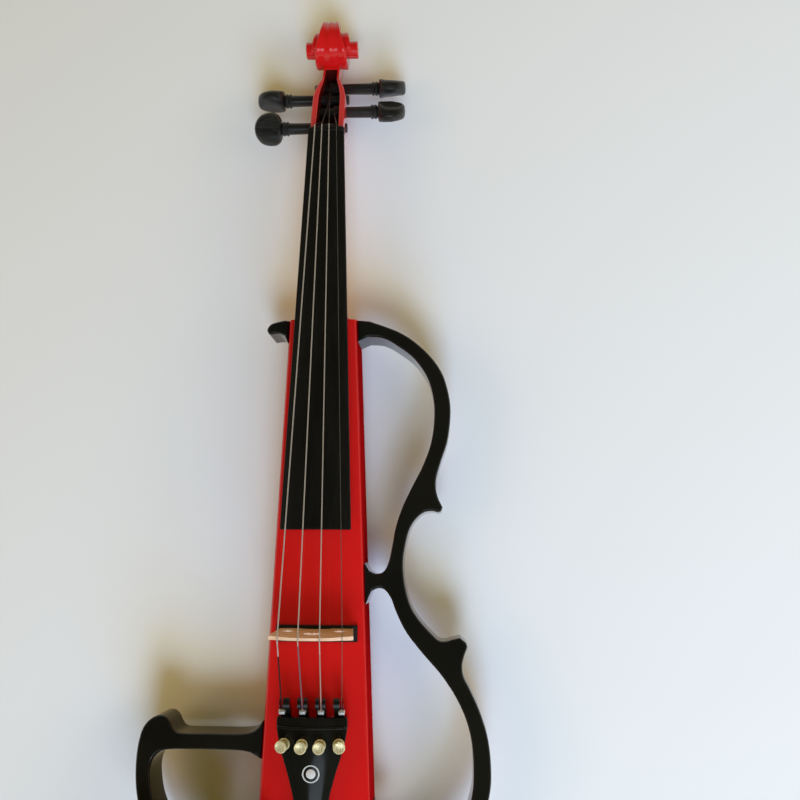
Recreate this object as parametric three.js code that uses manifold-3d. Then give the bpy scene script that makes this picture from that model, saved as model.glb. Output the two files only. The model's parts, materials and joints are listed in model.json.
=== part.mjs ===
// Full-size electric violin lying on its back, in millimetres.
// +Y runs from the tail to the scroll, +Z from the back to the strings, +X to the E-string side.
// The origin is on the flat back of the core, straight below the middle of the bridge.

import * as THREE from 'three';
import { mergeVertices } from 'three/addons/utils/BufferGeometryUtils.js';
import Module from 'manifold-3d';

const wasm = await Module();
wasm.setup();

// Playing lengths
const STRING_LENGTH = 324.5;
const BODY_LENGTH = 356;
const STOP_SHARE = 0.5534;

// Clearances and overruns
const SEAT_GAP = 0.3;
const RUNNING_GAP = 0.4;
const CUT_OVERRUN = 2;
const WELD = 0.0005;

// Core, the red tapered slab
const BODY_DEPTH = 46;
const CORE_NECK_WIDTH = 43.7;
const CORE_TAIL_WIDTH = 71.5;
const CORE_CROWN = 2.4;
const CORE_EDGE_ROUND = 2.5;
const CORE_BILGE = 13;
const CORE_END_ROUND = 2.4;
const CORE_BACK_FLAT_SHARE = 0.62;

// Frame wings, the black open outline on both sides of the core
const FRAME_DEPTH = 26.5;
const FRAME_SETBACK = 2.5;
const FRAME_EDGE_ROUND = 1.8;
const CORNER_ROUND_SHARE = 0.0264;
const FRAME_REACH = 104.2;
const LOOP_REACH = 108.3;
const HORN_REACH = 36.3;
const HORN_DROP = 15;

// Fingerboard and nut
const BOARD_LENGTH = 261.9;
const BOARD_NUT_WIDTH = 23.9;
const BOARD_END_WIDTH = 42.9;
const BOARD_RADIUS = 42;
const BOARD_EDGE = 5;
const BOARD_SCOOP = 2.2;
const BOARD_NUT_RISE = 1.2;
const BOARD_END_RISE = 15.5;
const BOARD_OVERHANG = 0.3;
const NUT_THICKNESS = 4;
const NUT_PROUD = 0.6;

// Neck
const NECK_NUT_THICKNESS = 19;
const NECK_HEEL_THICKNESS = 21.5;
const HEEL_LENGTH = 30;
const HEEL_FLOOR = 4;
const HEEL_CURVE = 2.4;

// Pegbox and scroll
const EYE_REACH = 70.5;
const EYE_DROP = 25.5;
const PEGBOX_HALF_WIDTH = 11.2;
const PEGBOX_CAVITY_HALF_WIDTH = 7.5;
const SCROLL_RADIUS = 19.5;
const SCROLL_HALF_WIDTH = 11;
const SCROLL_HUB_RADIUS = 1.5;
const SCROLL_FLUTE = 0.9;
const EYE_RADIUS = 5.9;
const EYE_HALF_WIDTH = 18.2;
const EYE_ROUND = 0.8;

// Pegs
const PEG_FIRST_BACK = 7.5;
const PEG_FIRST_DROP = 17;
const PEG_ROW_SLOPE = 18.4;
const PEG_E_STEP = 14.5;
const PEG_D_STEP = 26.3;
const PEG_A_STEP = 36.8;
const PEG_TIP_RADIUS = 3.3;
const PEG_NECK_RADIUS = 3.9;
const PEG_TIP_REACH = 12.2;
const PEG_COLLAR_REACH = 28;
const PEG_COLLAR_RADIUS = 4.9;
const PEG_HEAD_REACH = 33;
const PEG_REACH = 51.6;
const PEG_HEAD_RADIUS = 11.1;
const PEG_HEAD_HALF_THICKNESS = 6.4;
const PEG_G_TURN = 25;
const PEG_D_TURN = 92;
const PEG_A_TURN = 112;
const PEG_E_TURN = 138;

// Strings and their windings on the pegs
const STRING_G_RADIUS = 0.4;
const STRING_D_RADIUS = 0.37;
const STRING_A_RADIUS = 0.34;
const STRING_E_RADIUS = 0.2;
const NUT_SPREAD = 14.4;
const BRIDGE_SPREAD = 37.5;
const WINDING_TURNS = 4;
const WINDING_G_TURNS = 3;
const WINDING_GAP = 0.5;
const LEAST_WINDING_GAP = 0.4;
const WINDING_LIFT = 0.3;
const WINDING_G_START = -2.6;
const WINDING_D_START = 0.4;
const WINDING_A_START = -1.2;
const WINDING_E_START = 2.2;
const BRIDGE_LAND = 0.95;

// Bridge and pickup
const BRIDGE_HEIGHT = 32.7;
const BRIDGE_RADIUS = 42;
const BRIDGE_TOP_WIDTH = 49.6;
const BRIDGE_FOOT_SPAN = 44.4;
const BRIDGE_FOOT_LENGTH = 13;
const BRIDGE_FOOT_HEIGHT = 1.4;
const BRIDGE_FOOT_THICKNESS = 4.7;
const BRIDGE_TOP_THICKNESS = 1.5;
const BRIDGE_SHOULDER_DROP = 7.2;
const BRIDGE_ARCH_HEIGHT = 1.3;
const BRIDGE_HEART_RADIUS = 3.1;
const BRIDGE_KIDNEY_RADIUS = 2.6;
const BRIDGE_KIDNEY_REACH = 15.8;
const PICKUP_LENGTH = 49.4;
const PICKUP_WIDTH = 9.8;
const PICKUP_AHEAD = 1;
const PICKUP_HEIGHT = 1.3;

// Tailpiece
const TAIL_HEAD_BACK = 45.3;
const TAIL_RISE = 16.5;
const TAIL_TILT = 4.5;
const TAIL_END_CLEARANCE = 2;
const TAIL_BLOCK_LENGTH = 24;
const TAIL_HALF_WIDTH = 20.8;
const TAIL_CROWN = 3.2;
const TAIL_HEAD_DEPTH = 11;
const TAIL_END_DEPTH = 5.6;
const TAIL_SHELL = 2.6;
const TAIL_WALL = 1.5;
const TAIL_DRAFT = 0.3;
const TAIL_POCKET_LENGTH = 22;
const FRET_BACK = 6;
const FRET_WIDTH = 1.8;
const FRET_HEIGHT = 1.1;
const EYE_ORNAMENT_SHARE = 0.0925;
const EYE_RING_RADIUS = 5.1;
const EYE_RING_WIDTH = 0.9;
const EYE_DOT_RADIUS = 2.8;
const EYE_INLAY_DEPTH = 0.8;

// Fine tuners
const TUNER_SPACING = 10.5;
const LEVER_PIVOT_BACK = 4.5;
const LEVER_PIVOT_DROP = 8.4;
const LEVER_WIDTH = 5.9;
const LEVER_ARM_WIDTH = 3.4;
const LEVER_OUTER_ARM_SHIFT = 1;
const LEVER_LENGTH = 30;
const LEVER_DEPTH = 11;
const LEVER_SLOT = 1.7;
const LEVER_OUTER_SLOT_SHIFT = 1.7;
const LEVER_INNER_SLOT_SHIFT = 0.15;
const AXLE_RADIUS = 1;
const BALL_RADIUS = 1.6;
const BALL_LENGTH = 3.6;
const BALL_AHEAD = 2.8;
const BALL_DROP = 2.5;
const SCREW_BACK = 15.2;
const SCREW_FAN = 9;
const SCREW_STEM_RADIUS = 1.4;
const SCREW_BODY_RADIUS = 3.1;
const SCREW_HEAD_RADIUS = 3.5;
const SCREW_HEAD_HEIGHT = 1.3;
const SCREW_STAND = 7.4;
const SCREW_LIFT = 2.2;
const SCREW_KNURL = 0.14;

// Tail gut, saddle and end button
const SADDLE_WIDTH = 34;
const SADDLE_LENGTH = 8;
const SADDLE_BED = 6;
const SADDLE_PROUD = 4.2;
const SADDLE_ROUND = 2.2;
const GUT_RADIUS = 0.95;
const GUT_SPREAD = 9.4;
const GUT_SOCKET = 3;
const BUTTON_DROP = 17;
const BUTTON_STEM_RADIUS = 3.6;
const BUTTON_STEM_LENGTH = 16;
const BUTTON_COLLAR_RADIUS = 6.2;
const BUTTON_GROOVE_RADIUS = 4.4;
const BUTTON_HEAD_RADIUS = 6.8;
const BUTTON_COLLAR_LENGTH = 2;
const BUTTON_GROOVE_LENGTH = 3;
const BUTTON_HEAD_LENGTH = 5.5;

// Control plate, knobs, switch and preamp board on the E-string side
const CONTROL_AHEAD = 40;
const CONTROL_HEIGHT = 28;
const PLATE_LENGTH = 40;
const PLATE_WIDTH = 20;
const PLATE_THICKNESS = 2;
const CAVITY_LENGTH = 34;
const CAVITY_WIDTH = 16;
const CAVITY_DEPTH = 15;
const KNOB_SPREAD = 11;
const KNOB_RADIUS = 6.1;
const KNOB_HEIGHT = 8;
const KNOB_LIFT = 0.5;
const KNOB_SHAFT_RADIUS = 1.5;
const KNOB_KNURL = 0.25;
const POT_RADIUS = 4.6;
const POT_DEPTH = 6;
const BOARD_LENGTH_PREAMP = 31;
const BOARD_WIDTH_PREAMP = 13;
const BOARD_THICKNESS_PREAMP = 1.6;
const SWITCH_THUMB = 3.8;
const SWITCH_TRAVEL = 4;
const SWITCH_WIDTH = 2.8;
const SWITCH_PROUD = 2;
const SWITCH_FLANGE = 1.2;
const SWITCH_FLANGE_LIP = 0.9;

// Jacks on the G-string side
const OUTPUT_JACK_AHEAD = 46;
const HEADPHONE_JACK_AHEAD = 26;
const JACK_HEIGHT = 28;
const OUTPUT_FLANGE_RADIUS = 8;
const OUTPUT_BARREL_RADIUS = 5.6;
const OUTPUT_BARREL_LENGTH = 24;
const OUTPUT_BORE_RADIUS = 3.3;
const HEADPHONE_FLANGE_RADIUS = 5.4;
const HEADPHONE_BARREL_RADIUS = 3.9;
const HEADPHONE_BARREL_LENGTH = 16;
const HEADPHONE_BORE_RADIUS = 1.85;
const JACK_FLANGE_THICKNESS = 1.6;
const JACK_LIP = 0.8;
const JACK_END_WALL = 2;

// Battery bay and door in the back
const BATTERY_AHEAD = 97;
const BATTERY_LENGTH = 46.4;
const BATTERY_WIDTH = 26.5;
const BATTERY_THICKNESS = 17.5;
const BATTERY_STUD_RADIUS = 2.8;
const BATTERY_STUD_HEIGHT = 2;
const BATTERY_STUD_SPACING = 12.9;
const DOOR_LIP = 3;
const DOOR_THICKNESS = 1.9;
const DOOR_INSET = 0.2;
const DOOR_PIN_RADIUS = 1.4;
const DOOR_PIN_HEIGHT = 1.7;

// Chin rest and its clamp on the lower loop
const CHIN_ACROSS_SHARE = 0.609;
const CHIN_ALONG_SHARE = 0.9017;
const CHIN_LENGTH = 88;
const CHIN_WIDTH = 56;
const CHIN_HEIGHT = 17;
const CHIN_STAND = 8.5;
const CLAMP_ACROSS_SHARE = 0.263;
const CLAMP_SPACING = 20;
const CLAMP_LENGTH = 28;
const CLAMP_FOOT_DEPTH = 9.5;
const CLAMP_PLATE = 1.8;
const CLAMP_ROD_RADIUS = 1.5;
const CLAMP_ROD_OFFSET = 4.9;
const CLAMP_EDGE = 2.6;
const BARREL_RADIUS = 3.2;
const BARREL_BORE_RADIUS = 2;
const BARREL_LENGTH = 21;
const BARREL_RISE = 20;
const CORK_THICKNESS = 1.5;
const ROD_GRIP = 7;

// Outline shares: across from the core's side to the reach, then along from the body's upper end to its tail.
const FRAME_SHOULDER_SHARES = [
  [0.095, 0.003], [0.216, 0.013], [0.337, 0.025], [0.457, 0.044], [0.578, 0.072], [0.663, 0.104],
  [0.710, 0.146], [0.714, 0.180], [0.687, 0.222], [0.635, 0.256], [0.596, 0.284], [0.589, 0.303],
  [0.604, 0.320], [0.639, 0.337],
];
const FRAME_WAIST_SHARES = [
  [0.628, 0.344], [0.602, 0.346], [0.558, 0.344], [0.493, 0.346], [0.427, 0.357], [0.372, 0.375],
  [0.335, 0.402], [0.313, 0.433], [0.323, 0.469], [0.364, 0.504], [0.435, 0.529], [0.540, 0.553],
  [0.593, 0.562], [0.648, 0.563], [0.701, 0.560], [0.762, 0.557],
];
const FRAME_LOWER_SHARES = [
  [0.809, 0.565], [0.819, 0.573], [0.794, 0.587], [0.776, 0.604], [0.787, 0.621], [0.840, 0.643],
  [0.914, 0.677], [0.977, 0.719], [1.000, 0.764], [0.988, 0.806], [0.911, 0.857], [0.768, 0.904],
  [0.561, 0.947], [0.282, 0.978],
];
const LOWER_WINDOW_SHARES = [
  [0.154, 0.951], [0.360, 0.935], [0.565, 0.907], [0.740, 0.862], [0.835, 0.812], [0.854, 0.764],
  [0.831, 0.713], [0.749, 0.666], [0.615, 0.622], [0.456, 0.584], [0.325, 0.549], [0.250, 0.517],
  [0.206, 0.492], [0.156, 0.478], [0.102, 0.476], [0.049, 0.481],
];
const UPPER_WINDOW_SHARES = [
  [0.036, 0.446], [0.094, 0.451], [0.154, 0.447], [0.196, 0.431], [0.230, 0.402], [0.263, 0.369],
  [0.326, 0.333], [0.407, 0.298], [0.487, 0.265], [0.554, 0.226], [0.584, 0.185], [0.582, 0.146],
  [0.538, 0.108], [0.442, 0.074], [0.321, 0.051], [0.200, 0.035], [0.078, 0.032],
];
const LOOP_OUTER_SHARES = [
  [0.034, 0.705], [0.078, 0.713], [0.183, 0.717], [0.406, 0.717], [0.615, 0.717], [0.687, 0.715],
  [0.723, 0.707], [0.748, 0.697], [0.794, 0.689], [0.859, 0.690], [0.931, 0.701], [0.977, 0.722],
  [1.000, 0.761], [0.987, 0.809], [0.921, 0.860], [0.806, 0.902], [0.613, 0.944], [0.335, 0.975],
];
const LOOP_WINDOW_SHARES = [
  [0.173, 0.950], [0.366, 0.935], [0.574, 0.909], [0.740, 0.869], [0.842, 0.829], [0.882, 0.789],
  [0.872, 0.765], [0.824, 0.750], [0.746, 0.744], [0.561, 0.743], [0.363, 0.743], [0.179, 0.744],
  [0.085, 0.747],
];
// The horn's second share runs down its own drop.
const HORN_SHARES = [
  [0.202, 0.000], [0.552, 0.071], [0.837, 0.166], [0.979, 0.332], [1.000, 0.475], [0.876, 0.617],
  [0.653, 0.593], [0.398, 0.593], [0.179, 0.688],
];
// Where the wings meet the core: upper and lower end of each joint, as shares of the body length.
const SHOULDER_JOINT_SHARES = [0.001, 0.040];
const WAIST_JOINT_SHARES = [0.433, 0.503];
const TAIL_JOINT_SHARES = [0.955, 0.991];
const LOOP_JOINT_SHARES = [0.695, 0.757];
const HORN_JOINT_SHARES = [0.024, 0.997];

// Pegbox seen from the side: shares of the eye's reach and of the eye's drop.
const PEGBOX_SIDE_SHARES = [
  [0, 0.071], [0.645, 0.665], [0.716, 0.784], [0.816, 0.863], [0.943, 0.863], [0.943, 1.722],
  [0.801, 1.690], [0.589, 1.549], [0.376, 1.375], [0.191, 1.220], [0.078, 1.045], [0, 0.784],
  [-0.092, 0.640], [-0.149, 0.530], [-0.085, 0.235], [0, 0.235],
];
const CAVITY_SIDE_SHARES = [
  [0.004, -0.2], [0.030, 0.740], [0.060, 0.900], [0.300, 1.060], [0.560, 1.350], [0.735, 1.380],
  [0.748, 1.200], [0.735, 0.800], [0.715, -0.2],
];
// Pegbox seen from the front: along as shares of the eye's reach, across as shares of the half width.
const PEGBOX_PLAN_SHARES = [
  [-0.18, 1.027], [0, 0.982], [0.191, 1.0], [0.390, 0.991], [0.489, 0.884], [0.574, 0.688], [0.645, 0.509],
  [0.972, 0.491],
];
const CAVITY_PLAN_SHARES = [
  [-0.02, 1.013], [0.390, 0.96], [0.504, 0.827], [0.603, 0.613], [0.7, 0.53],
  [0.76, 0.52],
];
// Scroll: angle in degrees from the scroll end towards the strings, radius share, half width share.
const FIRST_TURN_SHARES = [
  [-135, 1.090, 0.505], [-90, 1.000, 0.500], [-45, 1.005, 0.491], [0, 0.995, 0.482], [32, 0.979, 0.482],
  [60, 0.940, 0.570], [83, 0.887, 0.700], [122, 0.810, 0.963], [160, 0.744, 1.0], [190, 0.708, 1.0],
];
const SECOND_TURN_SHARES = [
  [172, 0.690, 1.0], [240, 0.662, 1.0], [300, 0.646, 1.0], [360, 0.625, 1.0], [392, 0.600, 1.05],
  [450, 0.490, 1.20], [496, 0.385, 1.30],
];
// Peg head: along as a share of the head's length, across as a share of its radius, thickness share.
const PEG_HEAD_SHARES = [
  [0.012, 0.86, 1.0], [0.14, 0.955, 0.98], [0.33, 1.0, 0.93], [0.55, 0.975, 0.88], [0.75, 0.85, 0.84],
  [0.90, 0.60, 0.78], [0.975, 0.32, 0.56],
];
const PEG_COLLAR_SHARES = [[0.0, 0.95], [0.2, 1.0], [0.38, 0.84], [0.55, 0.97], [0.74, 0.97], [0.88, 0.80]];
// Tailpiece outline: distance along the tuner block, then along the rest, and half width as a share of the widest.
const TAIL_BLOCK_SHARES = [[0, 0.985], [0.217, 1.0], [0.433, 0.965], [0.715, 0.900], [1, 0.800]];
const TAIL_REST_SHARES = [
  [0.096, 0.680], [0.194, 0.575], [0.265, 0.505], [0.415, 0.440], [0.610, 0.400], [0.8175, 0.400],
  [0.960, 0.375], [1, 0.300],
];
// Fine tuner lever, from its pivot: shares of its length towards the bridge and of its depth.
const LEVER_ARM_SHARES = [
  [-0.447, -0.054], [-0.447, 0.130], [-0.12, 0.163], [-0.057, 0.182], [0, 0.218], [0.057, 0.182],
];
const LEVER_CLAW_SHARES = [
  [0.357, 0.785], [0.470, 0.775], [0.517, 0.650], [0.497, 0.490], [0.400, 0.270], [0.300, -0.018],
  [0.09, -0.182], [0, -0.218], [-0.09, -0.145],
];
// Bridge outline: across as a share of the top's half width, up as a share of its height.
const BRIDGE_SIDE_SHARES = [
  [0.992, 0.70], [0.975, 0.56], [0.950, 0.40], [0.925, 0.25], [0.905, 0.10],
];
const BRIDGE_ARCH_SHARES = [[0.30, 0.58], [0.20, 0.88], [0.10, 1.0], [0, 1.02]];
// Chin rest cup: radius as a share of the half size, height as a share of the cup's height.
const CHIN_SHARES = [
  [0, 0.0], [0.45, 0.03], [0.78, 0.22], [0.95, 0.55], [1.0, 0.86], [0.985, 0.97], [0.94, 1.0], [0.87, 0.90],
  [0.68, 0.62], [0.40, 0.42], [0, 0.36],
];

const BODY_TOP = BODY_LENGTH * STOP_SHARE;
const BODY_TAIL = BODY_TOP - BODY_LENGTH;
const FRONT = BODY_DEPTH;
const NUT_FRONT = STRING_LENGTH;
const NUT_BACK = STRING_LENGTH + NUT_THICKNESS;
const BOARD_END = STRING_LENGTH - BOARD_LENGTH;
const FRAME_FRONT = FRONT - FRAME_SETBACK;
const FRAME_BACK = FRAME_FRONT - FRAME_DEPTH;
const EYE_Y = NUT_BACK + EYE_REACH;
const EYE_Z = FRONT - EYE_DROP;

const CONTROL_Y = BODY_TAIL + CONTROL_AHEAD;
const OUTPUT_JACK_Y = BODY_TAIL + OUTPUT_JACK_AHEAD;
const HEADPHONE_JACK_Y = BODY_TAIL + HEADPHONE_JACK_AHEAD;
const BATTERY_Y = BODY_TAIL + BATTERY_AHEAD;

const rad = THREE.MathUtils.degToRad;
const lerp = THREE.MathUtils.lerp;
const vec = (x, y, z) => new THREE.Vector3(x, y, z);

// Finishes
const finish = (color, roughness, metalness) => new THREE.MeshStandardMaterial({ color, roughness, metalness });
const redLacquer = finish(0xb01a18, 0.2, 0);
const blackGloss = finish(0x0d0d0c, 0.2, 0);
const ebony = finish(0x1b1917, 0.5, 0);
const boardBlack = finish(0x151412, 0.6, 0);
const maple = finish(0xb98258, 0.6, 0);
const brass = finish(0xb9933f, 0.35, 1);
const steel = finish(0xb8b8b6, 0.35, 1);
const silverWire = finish(0xb5b2aa, 0.4, 1);
const pearl = finish(0xd8d5cc, 0.3, 0);
const nylon = finish(0x202020, 0.5, 0);
const blackPlastic = finish(0x161616, 0.45, 0);
const circuitGreen = finish(0x1d5a34, 0.5, 0);
const batteryGrey = finish(0x3a3d42, 0.5, 0.2);
const cork = finish(0xa77a4e, 0.9, 0);

// Merges shared vertices and drops the slivers that revolving a profile leaves at its poles.
function weld(geometry) {
  const bare = geometry.index ? geometry.toNonIndexed() : geometry.clone();
  for (const name of Object.keys(bare.attributes)) {
    if (name !== 'position') bare.deleteAttribute(name);
  }
  const merged = mergeVertices(bare, WELD);
  const kept = [];
  const index = merged.index.array;
  for (let i = 0; i < index.length; i += 3) {
    const [a, b, c] = [index[i], index[i + 1], index[i + 2]];
    if (a !== b && b !== c && c !== a) kept.push(a, b, c);
  }
  merged.setIndex(kept);
  return facingOut(merged);
}

// Turns every face over when a closed geometry was built inside out.
function facingOut(geometry) {
  const at = geometry.attributes.position;
  const index = geometry.index.array;
  const [a, b, c] = [vec(0, 0, 0), vec(0, 0, 0), vec(0, 0, 0)];
  let volume = 0;
  for (let i = 0; i < index.length; i += 3) {
    a.fromBufferAttribute(at, index[i]);
    b.fromBufferAttribute(at, index[i + 1]);
    c.fromBufferAttribute(at, index[i + 2]);
    volume += a.dot(b.cross(c));
  }
  if (volume < 0) {
    const turned = [];
    for (let i = 0; i < index.length; i += 3) turned.push(index[i], index[i + 2], index[i + 1]);
    geometry.setIndex(turned);
  }
  return geometry;
}

function toSolid(geometry) {
  const closed = weld(geometry);
  return new wasm.Manifold(new wasm.Mesh({
    numProp: 3,
    vertProperties: new Float32Array(closed.attributes.position.array),
    triVerts: new Uint32Array(closed.index.array),
  }));
}

function toGeometry(solid) {
  const mesh = solid.getMesh();
  const geometry = new THREE.BufferGeometry();
  geometry.setAttribute('position', new THREE.BufferAttribute(new Float32Array(mesh.vertProperties), 3));
  geometry.setIndex(new THREE.BufferAttribute(new Uint32Array(mesh.triVerts), 1));
  return geometry;
}

function cut(geometry, ...tools) {
  let solid = toSolid(geometry);
  for (const tool of tools) solid = solid.subtract(toSolid(tool));
  return toGeometry(solid);
}

function join(...geometries) {
  let solid = toSolid(geometries[0]);
  for (const other of geometries.slice(1)) solid = solid.add(toSolid(other));
  return toGeometry(solid);
}

function common(first, second) {
  return toGeometry(toSolid(first).intersect(toSolid(second)));
}

// Flattens a planar ring on its own plane, for filling an end cap.
function flattened(ring) {
  const normal = vec(0, 0, 0);
  for (let i = 0; i < ring.length; i++) normal.add(ring[i].clone().cross(ring[(i + 1) % ring.length]));
  normal.normalize();
  const across = ring[1].clone().sub(ring[0]).projectOnPlane(normal).normalize();
  const up = normal.clone().cross(across);
  return ring.map((p) => new THREE.Vector2(p.dot(across), p.dot(up)));
}

// Skins a row of rings that have the same number of points, and closes both ends.
function loft(rings) {
  const count = rings[0].length;
  const positions = rings.flat().flatMap((p) => [p.x, p.y, p.z]);
  const index = [];
  for (let i = 0; i + 1 < rings.length; i++) {
    for (let j = 0; j < count; j++) {
      const [a, b] = [i * count + j, i * count + (j + 1) % count];
      index.push(a, b, b + count, a, b + count, a + count);
    }
  }
  const capRing = (ring, start, reversed) => {
    const flat = flattened(ring);
    const turn = Math.sign(THREE.ShapeUtils.area(flat));
    for (const [p, q, r] of THREE.ShapeUtils.triangulateShape(flat, [])) {
      const area = flat[q].clone().sub(flat[p]).cross(flat[r].clone().sub(flat[p]));
      const alike = Math.sign(area) === turn;
      if (alike !== reversed) index.push(start + p, start + q, start + r);
      else index.push(start + p, start + r, start + q);
    }
  };
  capRing(rings[0], 0, true);
  capRing(rings[rings.length - 1], (rings.length - 1) * count, false);
  const geometry = new THREE.BufferGeometry();
  geometry.setAttribute('position', new THREE.Float32BufferAttribute(positions, 3));
  geometry.setIndex(index);
  return weld(geometry);
}

// A prism: the outline's points placed by a function at two levels.
const prism = (outline, place, low, high) => loft([low, high].map((level) => outline.map(([a, b]) => place(a, b, level))));
const box = (sizeX, sizeY, sizeZ, x, y, z) => new THREE.BoxGeometry(sizeX, sizeY, sizeZ).translate(x, y, z);
const boxBetween = (low, high) => box(high[0] - low[0], high[1] - low[1], high[2] - low[2],
  (low[0] + high[0]) / 2, (low[1] + high[1]) / 2, (low[2] + high[2]) / 2);

// A solid of revolution about +Y from a profile of [radius, height] pairs.
const revolve = (profile, sides) => new THREE.LatheGeometry(profile.map(([r, h]) => new THREE.Vector2(r, h)), sides);
const towardsX = (geometry, side) => geometry.rotateZ(-side * Math.PI / 2);
const towardsZ = (geometry) => geometry.rotateX(Math.PI / 2);
// A hole's polygon is drawn large enough for its flats to keep the clearance.
const clearRadius = (radius, gap, sides) => (radius + gap) / Math.cos(Math.PI / sides);

// A round bar through the given points, skinned by rings that turn with the path.
function bar(points, radius, sides) {
  const rings = [];
  let side = vec(1, 0, 0);
  points.forEach((point, i) => {
    const before = points[Math.max(i - 1, 0)];
    const after = points[Math.min(i + 1, points.length - 1)];
    const along = after.clone().sub(before).normalize();
    side = side.clone().projectOnPlane(along).normalize();
    const up = along.clone().cross(side);
    const ring = [];
    for (let k = 0; k < sides; k++) {
      const turn = 2 * Math.PI * k / sides;
      ring.push(point.clone().addScaledVector(side, radius * Math.cos(turn)).addScaledVector(up, radius * Math.sin(turn)));
    }
    rings.push(ring);
  });
  return loft(rings);
}

// A smooth curve through hand-picked points, as a row of [a, b] pairs.
function smooth(points, steps) {
  const curve = new THREE.SplineCurve(points.map(([a, b]) => new THREE.Vector2(a, b)));
  return curve.getPoints(steps).map((p) => [p.x, p.y]);
}

// Reads a table of rows at a value of its first column, straight between rows.
function readTable(table, at) {
  let row = 0;
  while (row < table.length - 2 && table[row + 1][0] < at) row++;
  const [low, high] = [table[row], table[row + 1]];
  const share = THREE.MathUtils.clamp((at - low[0]) / (high[0] - low[0]), 0, 1);
  return low.slice(1).map((value, i) => lerp(value, high[i + 1], share));
}

// Core: half width and crowned front at a distance along the body
const coreHalf = (y) => lerp(CORE_NECK_WIDTH, CORE_TAIL_WIDTH, (BODY_TOP - y) / BODY_LENGTH) / 2;
const crownFlat = (y) => coreHalf(y) - CORE_EDGE_ROUND;
const crownHeight = (x, y) => FRONT - CORE_CROWN * (x / crownFlat(y)) ** 2;

function coreRing(y, inset) {
  const BILGE_STEPS = 4;
  const ROUND_STEPS = 3;
  const CROWN_STEPS = 5;
  const half = coreHalf(y);
  const side = [];
  for (let i = 0; i <= BILGE_STEPS; i++) {
    const turn = Math.PI / 2 * i / BILGE_STEPS;
    const flat = half * CORE_BACK_FLAT_SHARE;
    side.push([flat + (half - flat) * Math.sin(turn), CORE_BILGE * (1 - Math.cos(turn))]);
  }
  const shoulder = FRONT - CORE_CROWN - CORE_EDGE_ROUND;
  for (let i = 0; i <= ROUND_STEPS; i++) {
    const turn = Math.PI / 2 * i / ROUND_STEPS;
    side.push([half - CORE_EDGE_ROUND * (1 - Math.cos(turn)), shoulder + CORE_EDGE_ROUND * Math.sin(turn)]);
  }
  for (let i = CROWN_STEPS - 1; i > 0; i--) {
    const x = crownFlat(y) * i / CROWN_STEPS;
    side.push([x, crownHeight(x, y)]);
  }
  const across = (half - inset) / half;
  const up = (FRONT / 2 - inset) / (FRONT / 2);
  const point = ([x, z]) => vec(x * across, y, FRONT / 2 + (z - FRONT / 2) * up);
  const mirrored = side.map(([x, z]) => [-x, z]).reverse();
  return [...side, [0, FRONT], ...mirrored].map(point);
}

// Sockets and seats that are cut into the core, shared with the pieces that sit in them
const plateFace = coreHalf(CONTROL_Y);
const plateFloor = plateFace - PLATE_THICKNESS - SEAT_GAP;
const outputFace = coreHalf(OUTPUT_JACK_Y) - JACK_LIP;
const headphoneFace = coreHalf(HEADPHONE_JACK_Y) - JACK_LIP;
const doorHalfWidth = BATTERY_WIDTH / 2 + DOOR_LIP;
const bayHalfLength = (BATTERY_LENGTH + BATTERY_STUD_HEIGHT) / 2 + SEAT_GAP;
const doorTop = BATTERY_Y + bayHalfLength + DOOR_LIP + DOOR_PIN_RADIUS;
const doorBottom = BATTERY_Y - bayHalfLength - DOOR_LIP;
const doorPivotY = doorTop - DOOR_PIN_RADIUS - RUNNING_GAP;
const doorCeiling = DOOR_INSET + DOOR_THICKNESS;
const buttonZ = FRONT - BUTTON_DROP;

function jackSocket(y, face, flangeRadius, barrelRadius, barrelLength) {
  const SIDES = 24;
  const flange = clearRadius(flangeRadius, SEAT_GAP, SIDES);
  const barrel = clearRadius(barrelRadius, SEAT_GAP, SIDES);
  const deep = barrelLength + SEAT_GAP;
  const outer = CUT_OVERRUN + JACK_LIP + flangeRadius;
  const profile = [[0, -deep], [barrel, -deep], [barrel, 0], [flange, 0], [flange, outer], [0, outer]];
  return towardsX(revolve(profile, SIDES), -1).translate(-face, y, JACK_HEIGHT);
}

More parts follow.
